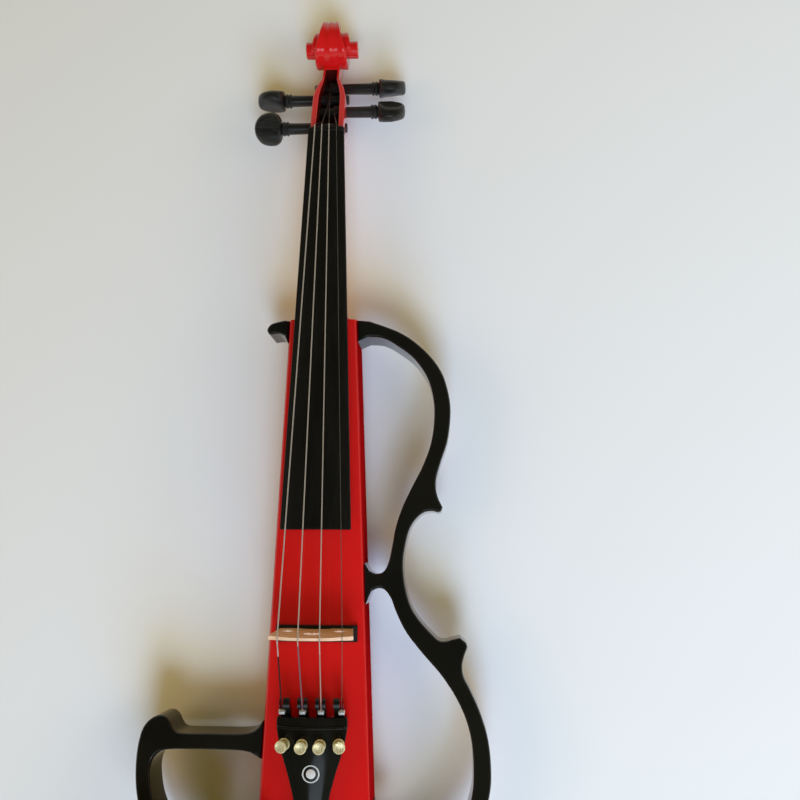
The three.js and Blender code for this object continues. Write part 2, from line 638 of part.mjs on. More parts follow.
function coreBody() {
  const rounds = [[BODY_TAIL, CORE_END_ROUND], [BODY_TAIL + CORE_END_ROUND * (1 - Math.SQRT1_2), CORE_END_ROUND * (1 - Math.SQRT1_2)],
    [BODY_TAIL + CORE_END_ROUND, 0], [BODY_TOP, 0]];
  const slab = loft(rounds.map(([y, inset]) => coreRing(y, inset)));
  const saddleBed = boxBetween([-SADDLE_WIDTH / 2 - SEAT_GAP, BODY_TAIL - CUT_OVERRUN, FRONT - SADDLE_BED],
    [SADDLE_WIDTH / 2 + SEAT_GAP, BODY_TAIL + SADDLE_LENGTH + SEAT_GAP, FRONT + CUT_OVERRUN]);
  const BUTTON_SIDES = 20;
  const buttonHole = revolve([[0, 0], [clearRadius(BUTTON_STEM_RADIUS, SEAT_GAP, BUTTON_SIDES), 0],
    [clearRadius(BUTTON_STEM_RADIUS, SEAT_GAP, BUTTON_SIDES), BUTTON_STEM_LENGTH + SEAT_GAP + CUT_OVERRUN],
    [0, BUTTON_STEM_LENGTH + SEAT_GAP + CUT_OVERRUN]], BUTTON_SIDES).translate(0, BODY_TAIL - CUT_OVERRUN, buttonZ);
  const plateRecess = boxBetween([plateFloor, CONTROL_Y - PLATE_LENGTH / 2 - SEAT_GAP, CONTROL_HEIGHT - PLATE_WIDTH / 2 - SEAT_GAP],
    [plateFace + PLATE_LENGTH, CONTROL_Y + PLATE_LENGTH / 2 + SEAT_GAP, CONTROL_HEIGHT + PLATE_WIDTH / 2 + SEAT_GAP]);
  const cavity = boxBetween([plateFloor - CAVITY_DEPTH, CONTROL_Y - CAVITY_LENGTH / 2, CONTROL_HEIGHT - CAVITY_WIDTH / 2],
    [plateFace + CUT_OVERRUN, CONTROL_Y + CAVITY_LENGTH / 2, CONTROL_HEIGHT + CAVITY_WIDTH / 2]);
  const bay = boxBetween([-BATTERY_WIDTH / 2 - SEAT_GAP, BATTERY_Y - bayHalfLength, -CUT_OVERRUN],
    [BATTERY_WIDTH / 2 + SEAT_GAP, BATTERY_Y + bayHalfLength, doorCeiling + BATTERY_THICKNESS + SEAT_GAP + SEAT_GAP]);
  const doorRebate = boxBetween([-doorHalfWidth - SEAT_GAP, doorBottom - SEAT_GAP, -CUT_OVERRUN],
    [doorHalfWidth + SEAT_GAP, doorTop + RUNNING_GAP, doorCeiling + SEAT_GAP]);
  const PIN_SIDES = 16;
  const pinGroove = towardsX(revolve([[0, -doorHalfWidth - SEAT_GAP], [clearRadius(DOOR_PIN_RADIUS, RUNNING_GAP, PIN_SIDES), -doorHalfWidth - SEAT_GAP],
    [clearRadius(DOOR_PIN_RADIUS, RUNNING_GAP, PIN_SIDES), doorHalfWidth + SEAT_GAP], [0, doorHalfWidth + SEAT_GAP]], PIN_SIDES), 1)
    .translate(0, doorPivotY, DOOR_PIN_HEIGHT);
  const output = jackSocket(OUTPUT_JACK_Y, outputFace, OUTPUT_FLANGE_RADIUS, OUTPUT_BARREL_RADIUS, OUTPUT_BARREL_LENGTH);
  const headphone = jackSocket(HEADPHONE_JACK_Y, headphoneFace, HEADPHONE_FLANGE_RADIUS, HEADPHONE_BARREL_RADIUS, HEADPHONE_BARREL_LENGTH);
  return cut(slab, saddleBed, buttonHole, plateRecess, cavity, bay, doorRebate, pinGroove, output, headphone);
}

// Frame wings
const alongBody = (share) => BODY_TOP - share * BODY_LENGTH;
const alongHorn = (share) => BODY_TOP - share * HORN_DROP;
const seatAt = (y) => [coreHalf(y) + SEAT_GAP, y];
const coreSeat = (share) => seatAt(alongBody(share));
const pointsOut = (shares, reach, placeAlong) => shares.map(([across, along]) => {
  const [side, y] = seatAt(placeAlong(along));
  return [lerp(side, reach, across), y];
});
const wingPoints = (shares, reach) => pointsOut(shares, reach, alongBody);

// The edges are no rounder than a wing's pointed corners can carry.
const edgeRound = (reach) => Math.min(FRAME_EDGE_ROUND, CORNER_ROUND_SHARE * (reach - coreHalf(BODY_TAIL)));

// An extruded outline with rounded front and back edges, standing at the frame's depth.
function wing(outline, side, round) {
  const shape = new THREE.Shape(outline.map(([x, y]) => new THREE.Vector2(side * x, y)));
  const geometry = new THREE.ExtrudeGeometry(shape, {
    depth: FRAME_DEPTH - 2 * round,
    bevelThickness: round,
    bevelSize: round,
    bevelOffset: -round,
    bevelSegments: 2,
    steps: 1,
  });
  return weld(geometry.translate(0, 0, FRAME_BACK + round));
}

function rightFrame() {
  const shoulder = [coreSeat(SHOULDER_JOINT_SHARES[0]), ...smooth(wingPoints(FRAME_SHOULDER_SHARES, FRAME_REACH), 20)];
  const waist = smooth(wingPoints(FRAME_WAIST_SHARES, FRAME_REACH), 22);
  const lower = [...smooth(wingPoints(FRAME_LOWER_SHARES, FRAME_REACH), 22), coreSeat(TAIL_JOINT_SHARES[1])];
  const lowerWindow = smooth(wingPoints(LOWER_WINDOW_SHARES, FRAME_REACH), 23);
  const upperWindow = smooth(wingPoints(UPPER_WINDOW_SHARES, FRAME_REACH), 24);
  return wing([...shoulder, ...waist, ...lower, coreSeat(TAIL_JOINT_SHARES[0]), ...lowerWindow, coreSeat(WAIST_JOINT_SHARES[1]),
    coreSeat(WAIST_JOINT_SHARES[0]), ...upperWindow, coreSeat(SHOULDER_JOINT_SHARES[1])], 1, edgeRound(FRAME_REACH));
}

const loopOuter = smooth(wingPoints(LOOP_OUTER_SHARES, LOOP_REACH), 30);

function leftLoop() {
  const window = smooth(wingPoints(LOOP_WINDOW_SHARES, LOOP_REACH), 22);
  return wing([coreSeat(LOOP_JOINT_SHARES[0]), ...loopOuter, coreSeat(TAIL_JOINT_SHARES[1]), coreSeat(TAIL_JOINT_SHARES[0]), ...window,
    coreSeat(LOOP_JOINT_SHARES[1])], -1, edgeRound(LOOP_REACH));
}

function upperHorn() {
  const outer = smooth(pointsOut(HORN_SHARES, HORN_REACH, alongHorn), 16);
  const [upper, lower] = HORN_JOINT_SHARES.map((share) => seatAt(alongHorn(share)));
  return wing([upper, ...outer, lower], -1, FRAME_EDGE_ROUND);
}

// Fingerboard: half width, edge height and arched top at a distance along the strings
const boardShare = (y) => (NUT_FRONT - y) / BOARD_LENGTH;
const boardHalf = (y) => lerp(BOARD_NUT_WIDTH, BOARD_END_WIDTH, boardShare(y)) / 2;
const boardRise = (y) => FRONT + lerp(BOARD_NUT_RISE, BOARD_END_RISE, boardShare(y));
const arch = (x, half, radius) => Math.sqrt(radius ** 2 - x ** 2) - Math.sqrt(radius ** 2 - half ** 2);
const boardTop = (x, y) => boardRise(y) + arch(x, boardHalf(y), BOARD_RADIUS);
const neckTop = (y) => boardRise(y) - BOARD_EDGE - SEAT_GAP;

function archedRing(y, half, top, bottomHalf, bottom, steps) {
  const ring = [];
  for (let i = 0; i <= steps; i++) {
    const x = lerp(half, -half, i / steps);
    ring.push(vec(x, y, top(x)));
  }
  return [...ring, vec(-bottomHalf, y, bottom), vec(bottomHalf, y, bottom)];
}

function fingerboard() {
  const STEPS = 8;
  const ring = (y) => archedRing(y, boardHalf(y), (x) => boardTop(x, y), boardHalf(y) - BOARD_OVERHANG, boardRise(y) - BOARD_EDGE, STEPS);
  const board = loft([ring(NUT_FRONT - SEAT_GAP), ring(BOARD_END)]);
  // The free end is hollowed below, between two edge rails.
  const hollow = (y, rise) => {
    const half = boardHalf(y) - BOARD_EDGE;
    const floor = boardRise(y) - BOARD_EDGE - CUT_OVERRUN;
    return archedRing(y, half, (x) => floor + CUT_OVERRUN + rise * (1 - (x / half) ** 2), half, floor, STEPS);
  };
  const scoopStart = BODY_TOP - HEEL_LENGTH / 2;
  return cut(board, loft([hollow(scoopStart, SEAT_GAP), hollow(scoopStart - HEEL_LENGTH, BOARD_SCOOP), hollow(BOARD_END - CUT_OVERRUN, BOARD_SCOOP)]));
}

// Nut grooves and bridge notches follow the strings
const stringNames = ['g', 'd', 'a', 'e'];
const stringRadii = [STRING_G_RADIUS, STRING_D_RADIUS, STRING_A_RADIUS, STRING_E_RADIUS];
const stringPlace = (spread, i) => spread * (i / 3 - 1 / 2);
const nutTop = (x) => boardTop(x, NUT_FRONT) + NUT_PROUD;
const bridgeTop = (x) => FRONT + BRIDGE_HEIGHT - BRIDGE_RADIUS + Math.sqrt(BRIDGE_RADIUS ** 2 - x ** 2);

function upperNut() {
  const STEPS = 8;
  const half = boardHalf(NUT_FRONT);
  const ring = (y, drop) => archedRing(y, half, (x) => nutTop(x) - drop, half, neckTop(NUT_FRONT) + SEAT_GAP, STEPS);
  return loft([ring(NUT_FRONT, NUT_PROUD / 2), ring(NUT_FRONT + NUT_THICKNESS / 4, 0), ring(NUT_FRONT + NUT_THICKNESS * 3 / 4, 0),
    ring(NUT_BACK - SEAT_GAP, NUT_PROUD)]);
}

// Neck with heel, pegbox and scroll in one piece
function neckBlank() {
  const STEPS = 10;
  const OVERLAP_SHARE = 0.02;
  const ring = (y) => {
    const share = (NUT_FRONT - y) / (NUT_FRONT - BODY_TOP);
    const thickness = lerp(NECK_NUT_THICKNESS, NECK_HEEL_THICKNESS, share);
    const plain = thickness - (boardTop(0, y) - neckTop(y));
    const heelShare = Math.max(0, 1 - (y - BODY_TOP) / HEEL_LENGTH) ** HEEL_CURVE;
    const depth = lerp(plain, neckTop(y) - HEEL_FLOOR, heelShare);
    const half = boardHalf(Math.min(y, NUT_FRONT)) - BOARD_OVERHANG;
    const points = [];
    for (let i = 0; i <= STEPS; i++) {
      const turn = Math.PI * i / STEPS;
      points.push(vec(half * Math.cos(turn), y, neckTop(y) - depth * Math.sin(turn) ** 0.8));
    }
    return points;
  };
  const heelStops = [0, 0.08, 0.18, 0.32, 0.5, 0.72, 1].map((share) => BODY_TOP + SEAT_GAP + share * HEEL_LENGTH);
  return loft([...heelStops, NUT_FRONT, NUT_BACK + EYE_REACH * OVERLAP_SHARE].map(ring));
}

function pegboxShape(sideShares, planShares, halfWidth) {
  const side = sideShares.map(([along, drop]) => [NUT_BACK + along * EYE_REACH, FRONT - drop * EYE_DROP]);
  const plan = planShares.map(([along, across]) => [NUT_BACK + along * EYE_REACH, across * halfWidth]);
  const outline = [...plan.map(([y, x]) => [x, y]), ...plan.map(([y, x]) => [-x, y]).reverse()];
  const profile = prism(side, (y, z, x) => vec(x, y, z), -2 * halfWidth, 2 * halfWidth);
  const deep = FRONT + EYE_DROP;
  return common(profile, prism(outline, (x, y, z) => vec(x, y, z), -deep, deep + FRONT));
}

function scrollTurn(shares, steps) {
  const [start, end] = [shares[0][0], shares[shares.length - 1][0]];
  const rings = [];
  for (let i = 0; i <= steps; i++) {
    const angle = lerp(start, end, i / steps);
    const [radiusShare, widthShare] = readTable(shares, angle);
    const radius = radiusShare * SCROLL_RADIUS;
    const half = widthShare * SCROLL_HALF_WIDTH;
    const corner = radius - SCROLL_FLUTE / 2;
    const section = [[SCROLL_HUB_RADIUS, -half], [corner, -half], [radius, -half * 0.88], [radius - SCROLL_FLUTE, -half / 2], [radius, 0],
      [radius - SCROLL_FLUTE, half / 2], [radius, half * 0.88], [corner, half], [SCROLL_HUB_RADIUS, half]];
    const turn = rad(angle);
    rings.push(section.map(([r, x]) => vec(x, EYE_Y + r * Math.cos(turn), EYE_Z + r * Math.sin(turn))));
  }
  return loft(rings);
}

function scrollEye() {
  const SIDES = 18;
  const profile = [[0, -EYE_HALF_WIDTH], [EYE_RADIUS - EYE_ROUND, -EYE_HALF_WIDTH], [EYE_RADIUS, -EYE_HALF_WIDTH + EYE_ROUND],
    [EYE_RADIUS, EYE_HALF_WIDTH - EYE_ROUND], [EYE_RADIUS - EYE_ROUND, EYE_HALF_WIDTH], [0, EYE_HALF_WIDTH]];
  return towardsX(revolve(profile, SIDES), 1).translate(0, EYE_Y, EYE_Z);
}

// Pegs: places of their axes in the order of the strings, and which side the head is on
const pegSteps = [0, PEG_D_STEP, PEG_A_STEP, PEG_E_STEP];
const pegSides = [-1, -1, 1, 1];
const pegTurns = [PEG_G_TURN, PEG_D_TURN, PEG_A_TURN, PEG_E_TURN];
const pegAxis = (i) => vec(0, NUT_BACK + PEG_FIRST_BACK + pegSteps[i] * Math.cos(rad(PEG_ROW_SLOPE)),
  FRONT - PEG_FIRST_DROP - pegSteps[i] * Math.sin(rad(PEG_ROW_SLOPE)));
const shaftRadius = (x) => lerp(PEG_TIP_RADIUS, PEG_NECK_RADIUS, (x + PEG_TIP_REACH) / (PEG_TIP_REACH + PEG_COLLAR_REACH));

function pegHole(i) {
  const SIDES = 14;
  const reach = PEGBOX_HALF_WIDTH + CUT_OVERRUN;
  const wide = (x) => clearRadius(shaftRadius(x), SEAT_GAP, SIDES);
  const at = pegAxis(i);
  return towardsX(revolve([[0, -reach], [wide(-reach), -reach], [wide(reach), reach], [0, reach]], SIDES), pegSides[i]).translate(at.x, at.y, at.z);
}

function neckAndScroll() {
  const outside = join(neckBlank(), pegboxShape(PEGBOX_SIDE_SHARES, PEGBOX_PLAN_SHARES, PEGBOX_HALF_WIDTH),
    scrollTurn(FIRST_TURN_SHARES, 22), scrollTurn(SECOND_TURN_SHARES, 20), scrollEye());
  const cavity = pegboxShape(CAVITY_SIDE_SHARES, CAVITY_PLAN_SHARES, PEGBOX_CAVITY_HALF_WIDTH);
  const nutSeat = boxBetween([-BOARD_NUT_WIDTH, NUT_FRONT - NUT_THICKNESS, neckTop(NUT_FRONT)], [BOARD_NUT_WIDTH, NUT_BACK, FRONT + BOARD_EDGE]);
  return cut(outside, cavity, nutSeat, ...stringNames.map((name, i) => pegHole(i)));
}

function pegShape(i) {
  const SIDES = 16;
  const collar = PEG_COLLAR_SHARES.map(([along, across]) => [across * PEG_COLLAR_RADIUS, lerp(PEG_COLLAR_REACH, PEG_HEAD_REACH, along)]);
  const head = PEG_HEAD_SHARES.map(([along, across]) => [across * PEG_HEAD_RADIUS, lerp(PEG_HEAD_REACH, PEG_REACH, along)]);
  const profile = [[0, -PEG_TIP_REACH], [PEG_TIP_RADIUS, -PEG_TIP_REACH], [PEG_NECK_RADIUS, PEG_COLLAR_REACH], ...collar,
    ...head, [0, PEG_REACH]];
  const geometry = revolve(profile, SIDES);
  const at = geometry.attributes.position;
  for (let k = 0; k < at.count; k++) {
    if (at.getY(k) <= PEG_HEAD_REACH) continue;
    const along = (at.getY(k) - PEG_HEAD_REACH) / (PEG_REACH - PEG_HEAD_REACH);
    const [across, thick] = readTable(PEG_HEAD_SHARES, along);
    const squeeze = Math.min(1, thick * PEG_HEAD_HALF_THICKNESS / (across * PEG_HEAD_RADIUS));
    at.setZ(k, at.getZ(k) * squeeze);
  }
  return weld(towardsX(geometry, pegSides[i]));
}

// String windings: one unbroken helix on each peg, from the tangent point of the string outwards
const windingStarts = [WINDING_G_START, WINDING_D_START, WINDING_A_START, WINDING_E_START];
const windingRadius = (i) => PEG_NECK_RADIUS + WINDING_LIFT + stringRadii[i];
const windingPitch = (i) => 2 * stringRadii[i] + WINDING_GAP;
const windingTurns = (i) => (i === 0 ? WINDING_G_TURNS : WINDING_TURNS);

function windingPoints(i, stepsPerTurn, startTurn) {
  const points = [];
  const count = windingTurns(i) * stepsPerTurn;
  for (let k = 0; k <= count; k++) {
    const turn = startTurn - 2 * Math.PI * k / stepsPerTurn;
    const x = windingStarts[i] + pegSides[i] * windingPitch(i) * k / stepsPerTurn;
    points.push(vec(x, windingRadius(i) * Math.cos(turn), windingRadius(i) * Math.sin(turn)));
  }
  return points;
}

function leastGap(points, radius, stepsPerTurn) {
  let least = Infinity;
  for (let a = 0; a < points.length; a++) {
    for (let b = a + Math.floor(stepsPerTurn / 2); b < points.length; b++) least = Math.min(least, points[a].distanceTo(points[b]));
  }
  return least - 2 * radius;
}

// The strings' routes
const tailGroup = new THREE.Group();
tailGroup.position.set(0, -TAIL_HEAD_BACK, FRONT + TAIL_RISE);
tailGroup.rotation.x = rad(TAIL_TILT);
tailGroup.updateMatrixWorld(true);
const inTail = (x, y, z) => vec(x, y, z).applyMatrix4(tailGroup.matrixWorld);

const tunerX = (i) => TUNER_SPACING * (i - 3 / 2);
const slotShifts = [-LEVER_OUTER_SLOT_SHIFT, -LEVER_INNER_SLOT_SHIFT, LEVER_INNER_SLOT_SHIFT, LEVER_OUTER_SLOT_SHIFT];
const ballX = (i) => tunerX(i) + slotShifts[i];

// Where a line from a point meets the winding's circle over its top, and the angle of that place on the peg
function windingTangent(i, from) {
  const centre = pegAxis(i);
  const [dy, dz] = [centre.y - from.y, centre.z - from.z];
  const distance = Math.hypot(dy, dz);
  const heading = Math.atan2(dz, dy) + Math.asin(windingRadius(i) / distance);
  const length = Math.sqrt(distance ** 2 - windingRadius(i) ** 2);
  return { y: from.y + length * Math.cos(heading), z: from.z + length * Math.sin(heading), length, turn: heading + Math.PI / 2 };
}

function stringRoute(i) {
  const radius = stringRadii[i];
  const nutX = stringPlace(NUT_SPREAD, i);
  const bridgeX = stringPlace(BRIDGE_SPREAD, i);
  const lift = radius + SEAT_GAP;
  const ball = inTail(ballX(i), BALL_AHEAD, -BALL_DROP);
  const bridgeZ = bridgeTop(bridgeX) + lift;
  const nutZ = nutTop(nutX) + lift;
  const nutEnd = vec(nutX, NUT_BACK, nutZ);
  const tangent = windingTangent(i, nutEnd);
  // The string stops where it would enter the ring that the turning coils sweep.
  const short = Math.sqrt((2 * radius + SEAT_GAP) * (2 * windingRadius(i) + SEAT_GAP));
  const share = (tangent.length - short) / tangent.length;
  const coil = vec(windingStarts[i], tangent.y, tangent.z);
  const towards = vec(bridgeX, -BRIDGE_LAND, bridgeZ).sub(ball).normalize();
  const start = ball.clone().addScaledVector(towards, BALL_RADIUS + SEAT_GAP);
  const points = [start, vec(bridgeX, -BRIDGE_LAND, bridgeZ), vec(bridgeX, BRIDGE_LAND, bridgeZ), vec(nutX, NUT_FRONT, nutZ), nutEnd,
    nutEnd.clone().lerp(coil, share)];
  return points;
}

const windingTurn = (i) => windingTangent(i, stringRoute(i)[4]).turn;

function stringShape(i) {
  const SIDES = 6;
  return bar(stringRoute(i), stringRadii[i], SIDES);
}

function windingShape(i) {
  const STEPS = 20;
  const SIDES = 5;
  const points = windingPoints(i, STEPS, windingTurn(i));
  const gap = leastGap(points, stringRadii[i], STEPS);
  console.log(`string winding ${stringNames[i]}: least gap ${gap.toFixed(2)} mm, asked over ${LEAST_WINDING_GAP}`);
  return bar(points, stringRadii[i], SIDES);
}

// Piezo strip under both bridge feet, bedded on the crowned front
const pickupTop = FRONT + PICKUP_HEIGHT;

function pickup() {
  const STEPS = 10;
  const half = PICKUP_LENGTH / 2;
  const outline = [];
  for (let i = 0; i <= STEPS; i++) {
    const x = lerp(-half, half, i / STEPS);
    outline.push([x, crownHeight(x, 0) + SEAT_GAP]);
  }
  outline.push([half, pickupTop], [-half, pickupTop]);
  return prism(outline, (x, z, y) => vec(x, y, z), PICKUP_AHEAD - PICKUP_WIDTH / 2, PICKUP_AHEAD + PICKUP_WIDTH / 2);
}

function bridgeShape() {
  const ARCH_STEPS = 12;
  const foot = pickupTop + SEAT_GAP;
  const half = BRIDGE_TOP_WIDTH / 2;
  const crest = [];
  const flatHalf = BRIDGE_SPREAD / 2 + BRIDGE_FOOT_THICKNESS / 4;
  for (let i = 0; i <= ARCH_STEPS; i++) {
    const x = lerp(-flatHalf, flatHalf, i / ARCH_STEPS);
    crest.push([x, bridgeTop(x)]);
  }
  const height = BRIDGE_HEIGHT - PICKUP_HEIGHT;
  const right = BRIDGE_SIDE_SHARES.map(([across, up]) => [across * half, foot + up * height]);
  const outerFoot = BRIDGE_FOOT_SPAN / 2;
  const innerFoot = outerFoot - BRIDGE_FOOT_LENGTH;
  const footRun = [[outerFoot - SEAT_GAP, foot + BRIDGE_FOOT_HEIGHT / 2], [outerFoot, foot], [innerFoot, foot],
    [innerFoot + SEAT_GAP, foot + BRIDGE_FOOT_HEIGHT / 2]];
  const archRun = BRIDGE_ARCH_SHARES.map(([across, up]) => [across * half, foot + BRIDGE_FOOT_HEIGHT / 2 + up * BRIDGE_ARCH_HEIGHT]);
  const corner = [half, FRONT + BRIDGE_HEIGHT - BRIDGE_SHOULDER_DROP];
  const rightHalf = [corner, ...right, ...footRun, ...archRun];
  const leftHalf = rightHalf.slice(0, -1).map(([x, z]) => [-x, z]).reverse();
  const shape = new THREE.Shape([...crest, ...rightHalf, ...leftHalf].reverse().map(([x, z]) => new THREE.Vector2(x, z)));
  const heart = new THREE.Path();
  const heartZ = foot + height * 0.56;
  const r = BRIDGE_HEART_RADIUS;
  heart.moveTo(0, heartZ + r * 1.4);
  heart.bezierCurveTo(r * 0.3, heartZ + r * 0.8, r * 1.7, heartZ + r * 0.7, r * 1.7, heartZ - r * 0.2);
  heart.bezierCurveTo(r * 1.7, heartZ - r * 1.3, r * 0.3, heartZ - r * 1.3, 0, heartZ - r * 0.35);
  heart.bezierCurveTo(-r * 0.3, heartZ - r * 1.3, -r * 1.7, heartZ - r * 1.3, -r * 1.7, heartZ - r * 0.2);
  heart.bezierCurveTo(-r * 1.7, heartZ + r * 0.7, -r * 0.3, heartZ + r * 0.8, 0, heartZ + r * 1.4);
  const kidneys = [-1, 1].map((side) => {
    const path = new THREE.Path();
    const [x, z] = [side * BRIDGE_KIDNEY_REACH, foot + height * 0.29];
    path.absellipse(x, z, BRIDGE_KIDNEY_RADIUS * 1.6, BRIDGE_KIDNEY_RADIUS, 0, 2 * Math.PI, true);
    return path;
  });
  shape.holes = [heart, ...kidneys];
  const blank = new THREE.ExtrudeGeometry(shape, { depth: BRIDGE_FOOT_THICKNESS, bevelEnabled: false, curveSegments: 5 });
  // The tail-side face is upright, the neck-side face leans in towards the top.
  const at = blank.attributes.position;
  for (let k = 0; k < at.count; k++) {
    const share = (at.getY(k) - foot) / height;
    const thick = lerp(BRIDGE_FOOT_THICKNESS, BRIDGE_TOP_THICKNESS, share);
    const neckSide = at.getZ(k) > BRIDGE_FOOT_THICKNESS / 2;
    at.setXYZ(k, at.getX(k), (neckSide ? thick : 0) - BRIDGE_TOP_THICKNESS / 2, at.getY(k));
  }
  return weld(blank);
}

// Tailpiece, drawn with its head edge's middle as origin, in its own tilted group
const tailRun = -BODY_TAIL - SADDLE_LENGTH - TAIL_END_CLEARANCE - TAIL_HEAD_BACK;
const tailLength = tailRun / Math.cos(rad(TAIL_TILT));
const tailRest = tailLength - TAIL_BLOCK_LENGTH;
const tailOutline = [
  ...TAIL_BLOCK_SHARES.map(([along, across]) => [along * TAIL_BLOCK_LENGTH, across]),
  ...TAIL_REST_SHARES.map(([along, across]) => [TAIL_BLOCK_LENGTH + along * tailRest, across]),
];
const ornamentBack = TAIL_BLOCK_LENGTH + EYE_ORNAMENT_SHARE * tailRest;
const tailHalf = (back) => readTable(tailOutline, back)[0] * TAIL_HALF_WIDTH;
const tailCrown = (back) => TAIL_CROWN * tailHalf(back) / TAIL_HALF_WIDTH;
const tailTop = (x, back) => -tailCrown(back) * (x / tailHalf(back)) ** 2;
const tailDepth = (back) => lerp(TAIL_HEAD_DEPTH, TAIL_END_DEPTH, THREE.MathUtils.smoothstep(back, TAIL_POCKET_LENGTH, tailLength));

function tunerScrewMatrix(i) {
  const fan = (i === 0 ? -1 : i === 3 ? 1 : 0) * SCREW_FAN;
  const turn = new THREE.Matrix4().makeRotationY(rad(fan));
  return turn.setPosition(tunerX(i), -SCREW_BACK, tailTop(tunerX(i), SCREW_BACK));
}

function tailpiece() {
  const STEPS = 8;
  const ring = (back) => archedRing(-back, tailHalf(back), (x) => tailTop(x, back), tailHalf(back) - TAIL_DRAFT, -tailDepth(back), STEPS);
  const shell = loft(tailOutline.map(([back]) => ring(back)));
  const pocketRing = (back) => {
    const half = tailHalf(Math.max(back, 0)) - TAIL_WALL;
    const ceiling = (x) => tailTop(x, Math.max(back, 0)) - TAIL_SHELL;
    return archedRing(-back, half, ceiling, half, -TAIL_HEAD_DEPTH - CUT_OVERRUN, STEPS);
  };
  const widest = tailOutline[1][0];
  const pocket = loft([-CUT_OVERRUN, 0, widest, TAIL_POCKET_LENGTH / 2, TAIL_POCKET_LENGTH].map(pocketRing));
  const SIDES = 16;
  const axle = clearRadius(AXLE_RADIUS, SEAT_GAP, SIDES);
  const axleHole = towardsX(revolve([[0, -TAIL_HALF_WIDTH - CUT_OVERRUN], [axle, -TAIL_HALF_WIDTH - CUT_OVERRUN],
    [axle, TAIL_HALF_WIDTH + CUT_OVERRUN], [0, TAIL_HALF_WIDTH + CUT_OVERRUN]], SIDES), 1)
    .translate(0, -LEVER_PIVOT_BACK, -LEVER_PIVOT_DROP);
  const stem = clearRadius(SCREW_STEM_RADIUS, SEAT_GAP, SIDES);
  const screwHoles = stringNames.map((name, i) => towardsZ(revolve([[0, -TAIL_HEAD_DEPTH], [stem, -TAIL_HEAD_DEPTH],
    [stem, CUT_OVERRUN], [0, CUT_OVERRUN]], SIDES)).applyMatrix4(tunerScrewMatrix(i)));
  const RING_SIDES = 20;
  const inlay = clearRadius(EYE_RING_RADIUS, SEAT_GAP, RING_SIDES);
  const inlayBed = towardsZ(revolve([[0, -EYE_INLAY_DEPTH - SEAT_GAP], [inlay, -EYE_INLAY_DEPTH - SEAT_GAP], [inlay, CUT_OVERRUN],
    [0, CUT_OVERRUN]], RING_SIDES)).translate(0, -ornamentBack, 0);
  const gutHoles = [-1, 1].map((side) => {
    const wide = clearRadius(GUT_RADIUS, SEAT_GAP, SIDES);
    return revolve([[0, -CUT_OVERRUN], [wide, -CUT_OVERRUN], [wide, GUT_SOCKET + SEAT_GAP], [0, GUT_SOCKET + SEAT_GAP]], SIDES)
      .translate(side * GUT_SPREAD / 2, -tailLength, -TAIL_END_DEPTH / 2);
  });
  return cut(shell, pocket, axleHole, ...screwHoles, inlayBed, ...gutHoles);
}

function tailpieceFret() {
  const STEPS = 12;
  const half = tailHalf(FRET_BACK) - SEAT_GAP;
  const rings = [];
  for (let i = 0; i <= STEPS; i++) {
    const x = lerp(-half, half, i / STEPS);
    const seat = tailTop(x, FRET_BACK) + SEAT_GAP;
    rings.push([[-0.5, 0], [-0.5, 0.5], [-0.2, 1], [0.2, 1], [0.5, 0.5], [0.5, 0]]
      .map(([across, up]) => vec(x, -FRET_BACK + across * FRET_WIDTH, seat + up * FRET_HEIGHT)));
  }
  return loft(rings);
}

function eyeRing() {
  const SIDES = 20;
  const inner = EYE_RING_RADIUS - EYE_RING_WIDTH;
  const profile = [[inner, -EYE_INLAY_DEPTH], [EYE_RING_RADIUS, -EYE_INLAY_DEPTH], [EYE_RING_RADIUS, 0], [inner, 0], [inner, -EYE_INLAY_DEPTH]];
  return weld(towardsZ(revolve(profile, SIDES)).translate(0, -ornamentBack, 0));
}

function eyeDot() {
  const SIDES = 16;
  const profile = [[0, -EYE_INLAY_DEPTH], [EYE_DOT_RADIUS, -EYE_INLAY_DEPTH], [EYE_DOT_RADIUS, 0], [0, 0]];
  return weld(towardsZ(revolve(profile, SIDES)).translate(0, -ornamentBack, 0));
}

